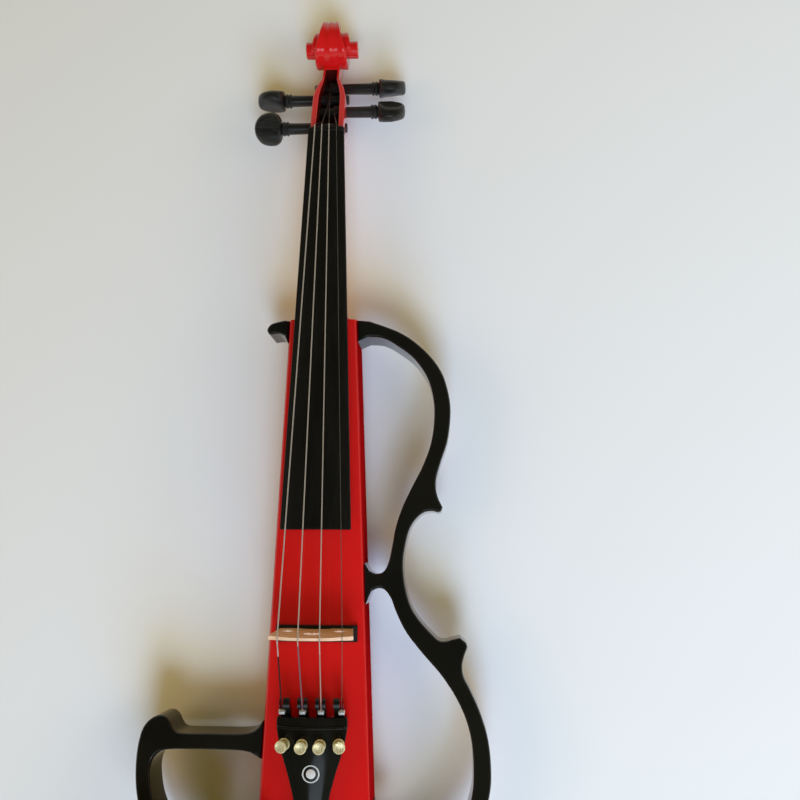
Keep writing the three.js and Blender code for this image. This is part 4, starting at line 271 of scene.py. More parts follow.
@dataclass
class Skin:
    """Points in millimetres and faces of one piece in the making."""

    points: list[Vector] = field(default_factory=list)
    faces: list[tuple[int, ...]] = field(default_factory=list)

    def loft(self, rings: Sequence[Sequence[Vector]], joined: bool = False) -> "Skin":
        """Skins a row of rings with the same number of points, and fills both ends.

        Args:
            rings: the closed rings in order.
            joined: whether the last ring is skinned to the first, and no end is filled.

        Returns:
            This skin.
        """
        start, rows, count = len(self.points), len(rings), len(rings[0])
        self.points += [p for ring in rings for p in ring]
        for i in range(rows if joined else rows - 1):
            here, there = start + i * count, start + (i + 1) % rows * count
            for j in range(count):
                k = (j + 1) % count
                self.faces.append((here + j, here + k, there + k, there + j))
        if not joined:
            last = start + (rows - 1) * count
            self.faces += [tuple(reversed(range(start, start + count))), tuple(range(last, last + count))]
        return self

    def add(self, other: "Skin") -> "Skin":
        """Adds another skin's points and faces to this one."""
        start = len(self.points)
        self.points += other.points
        self.faces += [tuple(start + i for i in face) for face in other.faces]
        return self

    def moved(self, matrix: Matrix) -> "Skin":
        """Places the skin by a matrix."""
        self.points = [matrix @ p for p in self.points]
        return self


def round_angles(sides: int) -> list[float]:
    """Angles in radians of steps round a circle."""
    return [2 * math.pi * k / sides for k in range(sides)]


def lathe(profile: Rows, sides: int, axis: Vector, teeth: int = 0, tooth_depth: float = 0.0) -> Skin:
    """Turns a profile about an axis through the origin.

    Args:
        profile: rows of radius, height along the axis, and 1 where the teeth are cut.
        sides: steps round the axis.
        axis: the direction of the axis.
        teeth: number of grip teeth cut round the marked rows.
        tooth_depth: how deep they are cut.

    Returns:
        The turned skin.
    """
    turn = Z_AXIS.rotation_difference(axis).to_matrix().to_4x4()
    rings = []
    for radius, height, *marked in profile:
        cut = tooth_depth if marked else 0.0
        ring = []
        for angle in round_angles(sides):
            reach = radius - cut * (0.5 + 0.5 * math.cos(teeth * angle))
            ring.append(Vector((reach * math.cos(angle), reach * math.sin(angle), height)))
        rings.append(ring)
    return Skin().loft(rings).moved(turn)


def tube(path: Sequence[Vector], radius: float, sides: int) -> Skin:
    """A round bar along a path.

    Args:
        path: the points it follows.
        radius: its radius.
        sides: steps round it.

    Returns:
        The bar's skin.
    """
    rings, side = [], X_AXIS
    for before, point, after in zip([path[0], *path], path, [*path[1:], path[-1]]):
        heading = (after - before).normalized()
        side = (side - heading * side.dot(heading)).normalized()
        x, y = side * radius, heading.cross(side) * radius
        rings.append([point + x * math.cos(t) + y * math.sin(t) for t in round_angles(sides)])
    return Skin().loft(rings)


def hoop(rim: Outline, steps: int) -> Skin:
    """A ring about Z.

    Args:
        rim: its closed section in radius and height.
        steps: steps round the axis.

    Returns:
        The ring's skin.
    """
    rings = [[Vector((r * math.cos(t), r * math.sin(t), z)) for r, z in rim] for t in round_angles(steps)]
    return Skin().loft(rings, joined=True)


def inset(outline: Outline, amount: float) -> Outline:
    """Moves an outline's edges inwards, for one drawn counter-clockwise.

    Args:
        outline: the closed outline.
        amount: how far each edge moves.

    Returns:
        The inset outline, with as many points.
    """
    sharpest = 0.35
    points = np.array(outline, float)
    into = np.roll(points, -1, 0) - points
    normal = np.stack([-into[:, 1], into[:, 0]], 1) / np.linalg.norm(into, axis=1)[:, None]
    before = np.roll(normal, 1, 0)
    spread = np.maximum(1 + np.sum(normal * before, 1), sharpest)
    return [(float(x), float(y)) for x, y in points + amount * (normal + before) / spread[:, None]]


def counter_clockwise(outline: Outline) -> Outline:
    """The outline, turned round if it runs clockwise."""
    area = sum(a[0] * b[1] - b[0] * a[1] for a, b in zip(outline, outline[1:] + outline[:1]))
    return outline if area > 0 else outline[::-1]


def mirrored(outline: Outline) -> Outline:
    """The outline's mirror image across the middle, drawn backwards."""
    return [(-across, up) for across, up in reversed(outline)]


def rounded_plate(outline: Outline, low: float, high: float, radius: float, steps: int = 5) -> Skin:
    """A plate whose upper and lower edges are rounded.

    Args:
        outline: its outline in X and Y.
        low: height of its lower face.
        high: height of its upper face.
        radius: radius of the rounded edges.
        steps: pieces of each rounding.

    Returns:
        The plate's skin.
    """
    outline = counter_clockwise(outline)
    turns = [math.pi / 2 * k / steps for k in reversed(range(steps + 1))]
    below = [(low + radius * (1 - math.sin(t)), radius * (1 - math.cos(t))) for t in turns]
    above = [(low + high - height, pulled) for height, pulled in reversed(below)]
    rings = [[Vector((x, y, z)) for x, y in inset(outline, pulled)] for z, pulled in below + above]
    return Skin().loft(rings)


def add_object(name: str, data: bpy.types.ID) -> bpy.types.Object:
    """Puts a new object that holds some data in the scene."""
    made = bpy.data.objects.new(name, data)
    bpy.context.scene.collection.objects.link(made)
    return made


def skin_mesh(name: str, skin: Skin) -> bpy.types.Mesh:
    """Turns a skin into a mesh in metres, with its doubles merged and its faces turned outwards.

    Args:
        name: the mesh's name.
        skin: the points and faces in millimetres.

    Returns:
        The mesh.
    """
    mesh = bpy.data.meshes.new(name)
    mesh.from_pydata([tuple(p * MM) for p in skin.points], [], skin.faces)
    bm = bmesh.new()
    bm.from_mesh(mesh)
    bmesh.ops.remove_doubles(bm, verts=bm.verts, dist=1e-7)
    bmesh.ops.recalc_face_normals(bm, faces=bm.faces)
    bm.to_mesh(mesh)
    bm.free()
    return mesh


def modify(made: bpy.types.Object, name: str, kind: str, **settings: object) -> None:
    """Adds a modifier with its settings to an object."""
    modifier = made.modifiers.new(name, kind)
    for key, value in settings.items():
        setattr(modifier, key, value)


def even_shading(made: bpy.types.Object) -> None:
    """Shades an object's large flat faces flat beside its rounded edges."""
    modify(made, "even shading", "WEIGHTED_NORMAL", keep_sharp=True)


def round_edges(made: bpy.types.Object, width: float, crease: float) -> None:
    """Rounds a piece's sharp edges and evens its shading.

    Args:
        made: the piece.
        width: the rounding's width in millimetres.
        crease: the angle in degrees from which an edge is rounded.
    """
    shape = {"width": width * MM, "segments": 3, "limit_method": "ANGLE", "angle_limit": math.radians(crease)}
    modify(made, "rounded edges", "BEVEL", use_clamp_overlap=True, **shape)
    even_shading(made)


def carve(made: bpy.types.Object, cutter: Skin) -> None:
    """Cuts a shape out of a piece for good.

    Args:
        made: the piece, which has no modifiers.
        cutter: closed skin to take away, in millimetres.
    """
    tool = add_object("cutter", skin_mesh("cutter", cutter))
    modify(made, "cut", "BOOLEAN", operation="DIFFERENCE", solver="EXACT", object=tool)
    bpy.context.view_layer.update()
    mesh = bpy.data.meshes.new_from_object(made.evaluated_get(bpy.context.evaluated_depsgraph_get()))
    made.modifiers.clear()
    made.data = mesh
    bpy.data.objects.remove(tool)
    mesh.shade_smooth()


class Bench:
    """A node tree with short calls for making and joining its nodes."""

    def __init__(self, tree: bpy.types.NodeTree) -> None:
        """Keeps the tree of a material, a group or the world."""
        self.tree = tree

    def fill(self, node: bpy.types.Node, inputs: dict) -> None:
        """Joins or sets a node's inputs.

        Args:
            node: the node.
            inputs: values or sockets for its inputs, by name or number.
        """
        for name, value in inputs.items():
            if isinstance(value, Socket):
                self.tree.links.new(value, node.inputs[name])
            else:
                node.inputs[name].default_value = value

    def node(self, kind: str, inputs: dict | None = None, **settings: object) -> bpy.types.Node:
        """Makes a node.

        Args:
            kind: its type's name.
            inputs: values or sockets for its inputs, by name or number.
            settings: properties to set on it.

        Returns:
            The node.
        """
        made = self.tree.nodes.new(kind)
        for name, value in settings.items():
            setattr(made, name, value)
        self.fill(made, inputs or {})
        return made

    def math(self, operation: str, *values: object) -> Socket:
        """A Math node's output, with its values in order."""
        return self.node("ShaderNodeMath", dict(enumerate(values)), operation=operation).outputs[0]

    def vector_math(self, operation: str, *values: object) -> bpy.types.NodeOutputs:
        """A Vector Math node's outputs, with its values in order."""
        return self.node("ShaderNodeVectorMath", dict(enumerate(values)), operation=operation).outputs

    def noise(self, vector: Socket, scale: object, detail: float, rough: float = 0.5) -> Socket:
        """A noise texture's factor on a vector."""
        inputs = {"Vector": vector, "Scale": scale, "Detail": detail, "Roughness": rough}
        return self.node("ShaderNodeTexNoise", inputs).outputs["Fac"]

    def stretch(self, vector: Socket, scale: tuple[float, float, float]) -> Socket:
        """A vector scaled along each axis."""
        return self.node("ShaderNodeMapping", {"Vector": vector, "Scale": scale}).outputs[0]

    def ramp(self, value: Socket, low: float, high: float) -> Socket:
        """A value mapped smoothly from 0 at low to 1 at high."""
        inputs = {"Value": value, "From Min": low, "From Max": high}
        return self.node("ShaderNodeMapRange", inputs, interpolation_type="SMOOTHSTEP").outputs[0]

    def level(self, share: Socket, low: Socket, high: Socket) -> Socket:
        """A value between two others."""
        return self.math("MULTIPLY_ADD", share, self.math("SUBTRACT", high, low), low)

    def blend(self, first: Socket, second: Socket, share: float) -> Socket:
        """The sum of a share of one value and the rest of another."""
        return self.math("ADD", self.math("MULTIPLY", first, share), self.math("MULTIPLY", second, 1 - share))

    def mix(self, share: Socket, low: object, high: object) -> Socket:
        """A colour between two others."""
        return self.node("ShaderNodeMix", {0: share, 6: low, 7: high}, data_type="RGBA").outputs[2]

    def tint(self, share: Socket, low: Colour, high: Colour) -> Socket:
        """A colour between two fixed ones."""
        return self.mix(share, (*low, 1.0), (*high, 1.0))

    def bump(self, shader: bpy.types.Node, height: Socket, strength: float, depth: float) -> None:
        """Feeds a height to a shader's normal.

        Args:
            shader: the material's shader.
            height: the height, from 0 to 1.
            strength: the bump's strength.
            depth: the height's real depth in millimetres.
        """
        inputs = {"Strength": strength, "Distance": depth * MM, "Height": height}
        self.fill(shader, {"Normal": self.node("ShaderNodeBump", inputs).outputs[0]})


class Effect(Enum):
    """Surface effects that several materials share, each one shader node group."""

    GRAIN = "wood grain"
    RIPPLE = "lacquer ripple"
    HANDLING = "handling marks"
    WRAP = "wrapped thread"
    BRUSHED = "brushed metal"


class EffectShop:
    """Builds each shared node group once and places it in materials."""

    def __init__(self) -> None:
        """Starts with no group built."""
        self.groups: dict[Effect, bpy.types.NodeTree] = {}

    def place(self, bench: Bench, effect: Effect, **values: object) -> bpy.types.NodeOutputs:
        """Places an effect in a material.

        Args:
            bench: the material's nodes.
            effect: the effect.
            values: its inputs' values.

        Returns:
            The outputs of the group's node.
        """
        if effect not in self.groups:
            makers = (self.grain, self.ripple, self.handling, self.wrap, self.brushed)
            self.groups[effect] = dict(zip(Effect, makers))[effect]()
        return bench.node("ShaderNodeGroup", values, node_tree=self.groups[effect]).outputs

    def start(self, effect: Effect, inputs: dict[str, object], outputs: Sequence[str]) -> tuple:
        """Starts a node group.

        Args:
            effect: the effect that it holds.
            inputs: each input's name and default value.
            outputs: each output's name.

        Returns:
            The bench, the input node's sockets, the output node and the object coordinates.
        """
        kinds = {1: "NodeSocketFloat", 3: "NodeSocketVector", 4: "NodeSocketColor"}
        tree = bpy.data.node_groups.new(effect.value, "ShaderNodeTree")
        for name, value in inputs.items():
            kind = kinds[np.size(value)]
            tree.interface.new_socket(name=name, in_out="INPUT", socket_type=kind).default_value = value
        for name in outputs:
            kind = kinds[4 if name == "Color" else 1]
            tree.interface.new_socket(name=name, in_out="OUTPUT", socket_type=kind)
        bench = Bench(tree)
        given = bench.node("NodeGroupInput").outputs
        result = bench.node("NodeGroupOutput")
        return bench, given, result, bench.node("ShaderNodeTexCoord").outputs["Object"]

    def grain(self) -> bpy.types.NodeTree:
        """Wood grain that runs along a stretched axis, with pores. Returns the group."""
        colours = {"Pale": (0.5, 0.3, 0.15, 1), "Dark": (0.2, 0.1, 0.05, 1)}
        inputs = {**colours, "Stretch": (1.0, 0.06, 1.0), "Scale": 900.0}
        bench, given, result, place = self.start(Effect.GRAIN, inputs, ("Color", "Height"))
        along = bench.vector_math("MULTIPLY", place, given["Stretch"])[0]
        fine = bench.noise(along, given["Scale"], 4.0)
        coarse = bench.noise(along, bench.math("MULTIPLY", given["Scale"], 0.22), 2.0)
        share = bench.ramp(bench.blend(fine, coarse, 0.6), 0.34, 0.66)
        colour = bench.mix(share, given["Dark"], given["Pale"])
        bench.fill(result, {"Color": colour, "Height": bench.ramp(fine, 0.36, 0.56)})
        return bench.tree

    def ripple(self) -> bpy.types.NodeTree:
        """Slow waves and fine specks of a sprayed lacquer. Returns the group."""
        inputs = {"Wave": 90.0, "Speck": 2600.0}
        bench, given, result, place = self.start(Effect.RIPPLE, inputs, ("Height", "Tint"))
        wave, speck = bench.noise(place, given["Wave"], 2.0), bench.noise(place, given["Speck"], 1.0)
        tint = bench.ramp(bench.noise(place, 14.0, 3.0, 0.55), 0.35, 0.68)
        bench.fill(result, {"Height": bench.math("MULTIPLY_ADD", speck, 0.05, wave), "Tint": tint})
        return bench.tree

    def handling(self) -> bpy.types.NodeTree:
        """Smears and rubbed places of a handled surface. Returns the group."""
        inputs = {"Scale": 40.0, "Low": 0.1, "High": 0.3}
        bench, given, result, place = self.start(Effect.HANDLING, inputs, ("Roughness", "Mask"))
        broad = bench.noise(place, given["Scale"], 5.0)
        smear = bench.noise(bench.stretch(place, (1.0, 0.25, 1.0)), 260.0, 4.0, 0.65)
        mask = bench.ramp(bench.blend(broad, smear, 0.65), 0.4, 0.66)
        bench.fill(result, {"Roughness": bench.level(mask, given["Low"], given["High"]), "Mask": mask})
        return bench.tree

    def wrap(self) -> bpy.types.NodeTree:
        """Bands of a thread or wire wrapped round a string, with a mask for painted shade between them.
        Returns the group.
        """
        inputs = {"Bands": 400.0, "Slant": 0.6}
        bench, given, result, place = self.start(Effect.WRAP, inputs, ("Height", "Mask"))
        parts = bench.node("ShaderNodeSeparateXYZ", {0: place}).outputs
        along = bench.math("ADD", parts[1], bench.math("MULTIPLY", parts[0], given["Slant"]))
        turn = bench.math("MULTIPLY", bench.math("MULTIPLY", along, given["Bands"]), 2 * math.pi)
        wave = bench.math("SINE", turn)
        bench.fill(result, {"Height": wave, "Mask": bench.ramp(wave, -0.4, 0.7)})
        return bench.tree

    def brushed(self) -> bpy.types.NodeTree:
        """Fine turning and polishing marks of metal. Returns the group."""
        inputs = {"Scale": 1500.0, "Low": 0.2, "High": 0.4}
        bench, given, result, place = self.start(Effect.BRUSHED, inputs, ("Roughness", "Height"))
        marks = bench.noise(bench.stretch(place, (1.0, 0.3, 0.2)), given["Scale"], 3.0)
        rough = bench.level(bench.ramp(marks, 0.3, 0.7), given["Low"], given["High"])
        bench.fill(result, {"Roughness": rough, "Height": marks})
        return bench.tree


@dataclass(frozen=True)
class Finish:
    """What every finish has: its names, its two tints and its least and most roughness."""

    name: str
    slot: str
    colour: Colour
    shade: Colour
    low: float = 0.35
    high: float = 0.5

    def make(self, shop: EffectShop) -> bpy.types.Material:
        """Makes the material.

        Args:
            shop: the shared effects.

        Returns:
            The material.
        """
        material = bpy.data.materials.new(self.name)
        material.use_nodes = True
        self.dress(Bench(material.node_tree), material.node_tree.nodes["Principled BSDF"], shop)
        return material

    def dress(self, bench: Bench, shader: bpy.types.Node, shop: EffectShop) -> None:
        """Joins the finish's nodes to the shader. Each kind of finish has its own."""
        raise NotImplementedError


@dataclass(frozen=True)
class Lacquer(Finish):
    """A glossy sprayed lacquer over a painted ground."""

    coat: float = 0.6
    shine: float = 0.5

    def dress(self, bench: Bench, shader: bpy.types.Node, shop: EffectShop) -> None:
        """Joins tint, rubbed gloss and ripple to the shader."""
        ripple = shop.place(bench, Effect.RIPPLE)
        marks = shop.place(bench, Effect.HANDLING, Low=self.low, High=self.high)
        tint = bench.tint(ripple["Tint"], self.shade, self.colour)
        coat = {"Coat Weight": self.coat, "Coat Roughness": 0.06, "Specular IOR Level": self.shine}
        bench.fill(shader, {"Base Color": tint, "Roughness": marks["Roughness"], **coat})
        bench.bump(shader, ripple["Height"], strength=0.25, depth=0.02)


@dataclass(frozen=True)
class Wood(Finish):
    """A wood with grain and open pores."""

    stretch: tuple[float, float, float] = (1.0, 0.06, 1.0)
    scale: float = 900.0
    shine: float = 0.5

    def dress(self, bench: Bench, shader: bpy.types.Node, shop: EffectShop) -> None:
        """Joins grain, pores and rubbed gloss to the shader."""
        tints = {"Pale": (*self.colour, 1.0), "Dark": (*self.shade, 1.0)}
        grain = shop.place(bench, Effect.GRAIN, Stretch=self.stretch, Scale=self.scale, **tints)
        marks = shop.place(bench, Effect.HANDLING, Low=self.low, High=self.high)
        gloss = {"Roughness": marks["Roughness"], "Specular IOR Level": self.shine}
        bench.fill(shader, {"Base Color": grain["Color"], **gloss})
        bench.bump(shader, grain["Height"], strength=0.35, depth=0.03)


@dataclass(frozen=True)
class Metal(Finish):
    """A turned or polished metal, whose shade is its tarnish."""

    metallic: float = 1.0

    def dress(self, bench: Bench, shader: bpy.types.Node, shop: EffectShop) -> None:
        """Joins tarnish and polishing marks to the shader."""
        marks = shop.place(bench, Effect.HANDLING, Scale=180.0)
        brushed = shop.place(bench, Effect.BRUSHED, Low=self.low, High=self.high)
        tint = bench.tint(bench.math("MULTIPLY", marks["Mask"], 0.6), self.colour, self.shade)
        bench.fill(shader, {"Base Color": tint, "Roughness": brushed["Roughness"], "Metallic": self.metallic})
        bench.bump(shader, brushed["Height"], strength=0.03, depth=0.01)


@dataclass(frozen=True)
class Wound(Finish):
    """A thread or wire round a string. Its shade colour is painted shade in the grooves between turns, and
    its roughness is the low one.
    """

    metallic: float = 0.0
    bands: float = 2200.0

    def dress(self, bench: Bench, shader: bpy.types.Node, shop: EffectShop) -> None:
        """Joins the bands to colour and normal; the darker colour between the bands is painted shade."""
        bands = shop.place(bench, Effect.WRAP, Bands=self.bands)
        # Painted shade: darker colour in the grooves between the turns.
        tint = bench.tint(bands["Mask"], self.shade, self.colour)
        bench.fill(shader, {"Base Color": tint, "Roughness": self.low, "Metallic": self.metallic})
        bench.bump(shader, bands["Height"], strength=0.4, depth=0.05)


@dataclass(frozen=True)
class Moulded(Finish):
    """A moulded plastic, cork or painted part with a fine surface."""

    pebble: float = 1800.0
    pebble_depth: float = 0.02
    metallic: float = 0.0

    def dress(self, bench: Bench, shader: bpy.types.Node, shop: EffectShop) -> None:
        """Joins tint, rubbed gloss and the fine pebble to the shader."""
        ripple = shop.place(bench, Effect.RIPPLE, Wave=self.pebble, Speck=self.pebble * 3)
        marks = shop.place(bench, Effect.HANDLING, Low=self.low, High=self.high)
        tint = bench.tint(ripple["Tint"], self.shade, self.colour)
        bench.fill(shader, {"Base Color": tint, "Roughness": marks["Roughness"], "Metallic": self.metallic})
        bench.bump(shader, ripple["Height"], strength=0.3, depth=self.pebble_depth)


ACROSS = (0.06, 1.0, 1.0)
BLACK_WOOD = ((0.024, 0.024, 0.021), (0.007, 0.0068, 0.006))


class Look(Enum):
    """The finishes of the violin."""

    RED = Lacquer("red lacquer", "red_lacquer", (0.64, 0.009, 0.009), (0.56, 0.008, 0.008), 0.08, 0.16)
    # Darker, duller copy of the red lacquer for the pegbox cavity: painted shade in the deep recess.
    INSIDE = Lacquer("pegbox inside", "red_lacquer", (0.1, 0.006, 0.004), (0.06, 0.004, 0.003), 0.3, 0.5, 0)
    # Darker, duller copy of the red lacquer for the core's steep sides: painted shade.
    RED_SIDE = Lacquer(
        "red lacquer side", "red_lacquer", (0.50, 0.006, 0.008), (0.42, 0.005, 0.006), 0.35, 0.5, 0.0, 0.0
    )
    BLACK = Lacquer(
        "black gloss", "black_gloss", (0.009, 0.0085, 0.006), (0.005, 0.0048, 0.0036), 0.08, 0.16, 0.2, 0.28
    )
    EBONY = Wood("ebony", "ebony", *BLACK_WOOD, 0.3, 0.42)
    EBONY_ACROSS = Wood("ebony across", "ebony", *BLACK_WOOD, 0.28, 0.42, ACROSS)
    NUT = Wood(
        "dark nut", "ebony", (0.009, 0.0085, 0.007), (0.004, 0.004, 0.0035), 0.45, 0.6, ACROSS, shine=0.2
    )
    BOARD = Wood(
        "black board", "board_black", (0.007, 0.0065, 0.005), (0.004, 0.0038, 0.003), 0.42, 0.55, shine=0.2
    )
    MAPLE = Wood(
        "bridge maple", "maple", (0.95, 0.68, 0.50), (0.82, 0.52, 0.36), 0.45, 0.6, (0.25, 1.0, 0.6), 700.0
    )
    BRASS = Metal("knurled brass", "brass", (0.97, 0.85, 0.49), (0.87, 0.74, 0.42), 0.24, 0.3, 0.6)
    STEEL = Metal("plated steel", "steel", (0.8, 0.8, 0.78), (0.7, 0.69, 0.66), 0.18, 0.34, 0.7)
    WIRE = Wound("wound silver", "silver_wire", (0.84, 0.77, 0.68), (0.48, 0.42, 0.36), metallic=0.65)
    RING = Moulded("silvered ring", "steel", (0.62, 0.62, 0.58), (0.5, 0.5, 0.47), 0.15, 0.3, metallic=0.35)
    PLAIN_WIRE = Metal("plain steel wire", "silver_wire", (0.3, 0.28, 0.25), (0.2, 0.18, 0.16), 0.38, 0.46)
    RED_SILK = Wound("dark red silk", "silver_wire", (0.05, 0.006, 0.008), (0.02, 0.003, 0.004), 0.6)
    PURPLE_SILK = Wound("purple silk", "silver_wire", (0.22, 0.12, 0.13), (0.12, 0.06, 0.07), 0.6)
    # Dark silk on the strings' peg ends; its darkness is partly painted shade in the pegbox.
    PEG_SILK = Wound("peg end silk", "silver_wire", (0.035, 0.02, 0.02), (0.015, 0.008, 0.008), 0.55)
    MIXED_SILK = Wound(
        "mixed silk", "silver_wire", (0.62, 0.42, 0.34), (0.30, 0.14, 0.11), 0.5, metallic=0.3, bands=900.0
    )
    PEARL = Moulded("pearl dot", "pearl", (0.62, 0.59, 0.56), (0.45, 0.44, 0.42), 0.15, 0.3, 300.0)
    NYLON = Moulded("tail gut", "nylon", (0.02, 0.02, 0.02), (0.012, 0.012, 0.012))
    PLASTIC = Moulded("black plastic", "black_plastic", (0.012, 0.012, 0.012), (0.006, 0.006, 0.006))
    BOARD_GREEN = Moulded("circuit board", "circuit_green", (0.02, 0.11, 0.045), (0.012, 0.07, 0.03))
    BATTERY = Moulded("battery can", "battery_grey", (0.05, 0.055, 0.065), (0.04, 0.042, 0.05), metallic=0.2)
    CORK = Moulded("cork", "cork", (0.42, 0.24, 0.12), (0.26, 0.14, 0.06), 0.8, 0.95, 900.0, 0.2)


class Workshop:
    """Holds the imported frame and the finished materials, and makes and dresses pieces."""

    def __init__(self, frame: dict) -> None:
        self.frame = frame
        self.effects = EffectShop()
        self.materials: dict[Look, bpy.types.Material] = {}
        self.joints = {joint["name"]: joint for joint in frame["joints"]}

    def pivot(self, joint: str) -> Vector:
        """A joint's place in millimetres."""
        return Vector(self.joints[joint]["pos_m"]) / MM

    def material(self, look: Look) -> bpy.types.Material:
        """The material of a finish, made at its first use."""
        if look not in self.materials:
            self.materials[look] = look.value.make(self.effects)
        return self.materials[look]

    def piece(
        self,
        name: str,
        skin: Skin,
        look: Look,
        body: str = "violin",
        replaces: Sequence[str] = (),
        crease: float = 38.0,
        bevel: float = 0.0,
        even: bool = False,
    ) -> bpy.types.Object:
        """Makes a piece of the violin from its skin.

        Args:
            name: the piece's name.
            skin: its points and faces in millimetres.
            look: its finish.
            body: the body that it rides on.
            replaces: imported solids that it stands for.
            crease: the angle in degrees from which an edge is sharp.
            bevel: width in millimetres of the rounding on sharp edges.
            even: whether large flat faces keep flat shading beside rounded edges.

        Returns:
            The piece.
        """
        mesh = skin_mesh(name, skin)
        made = add_object(name, mesh)
        mesh.materials.append(self.material(look))
        mesh.shade_smooth()
        if bevel:
            round_edges(made, bevel, crease)
        else:
            mesh.set_sharp_from_angle(angle=math.radians(crease))
        if even:
            even_shading(made)
        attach(made, body)
        if replaces:
            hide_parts(*replaces)
        LOG.info("made %s on %s, %d faces", name, body, len(mesh.polygons))
        return made

    def paint(self, made: bpy.types.Object, look: Look, picked: Callable[[object], bool]) -> None:
        """Gives some of a piece's faces a second finish.

        Args:
            made: the piece.
            look: the second finish.
            picked: tells whether a face has it.
        """
        made.data.materials.append(self.material(look))
        for face in made.data.polygons:
            if picked(face):
                face.material_index = 1

    def dress(
        self, node: str, look: Look, crease: float = 35.0, bevel: float = 0.0, even: bool = False
    ) -> bpy.types.Object:
        """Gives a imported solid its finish, smooth shading and rounded edges.

        Args:
            node: the solid's name.
            look: its finish.
            crease: the angle in degrees from which an edge is sharp.
            bevel: width in millimetres of the rounding on sharp edges.
            even: whether large flat faces keep flat shading, where no edge is rounded.

        Returns:
            The solid's object.
        """
        solid = self.frame["nodes"][node]
        mesh = solid.data
        for name in ("custom_normal", "sharp_face", "sharp_edge"):
            if name in mesh.attributes:
                mesh.attributes.remove(mesh.attributes[name])
        mesh.shade_smooth()
        mesh.materials.clear()
        mesh.materials.append(self.material(look))
        modify(solid, "weld", "WELD", merge_threshold=0.002 * MM)
        if bevel:
            modify(solid, "flat faces", "DECIMATE", decimate_type="DISSOLVE", angle_limit=math.radians(0.6))
            round_edges(solid, bevel, crease)
        else:
            modify(solid, "sharp edges", "EDGE_SPLIT", split_angle=math.radians(crease))
            if even:
                even_shading(solid)
        LOG.info("dressed %s", node)
        return solid


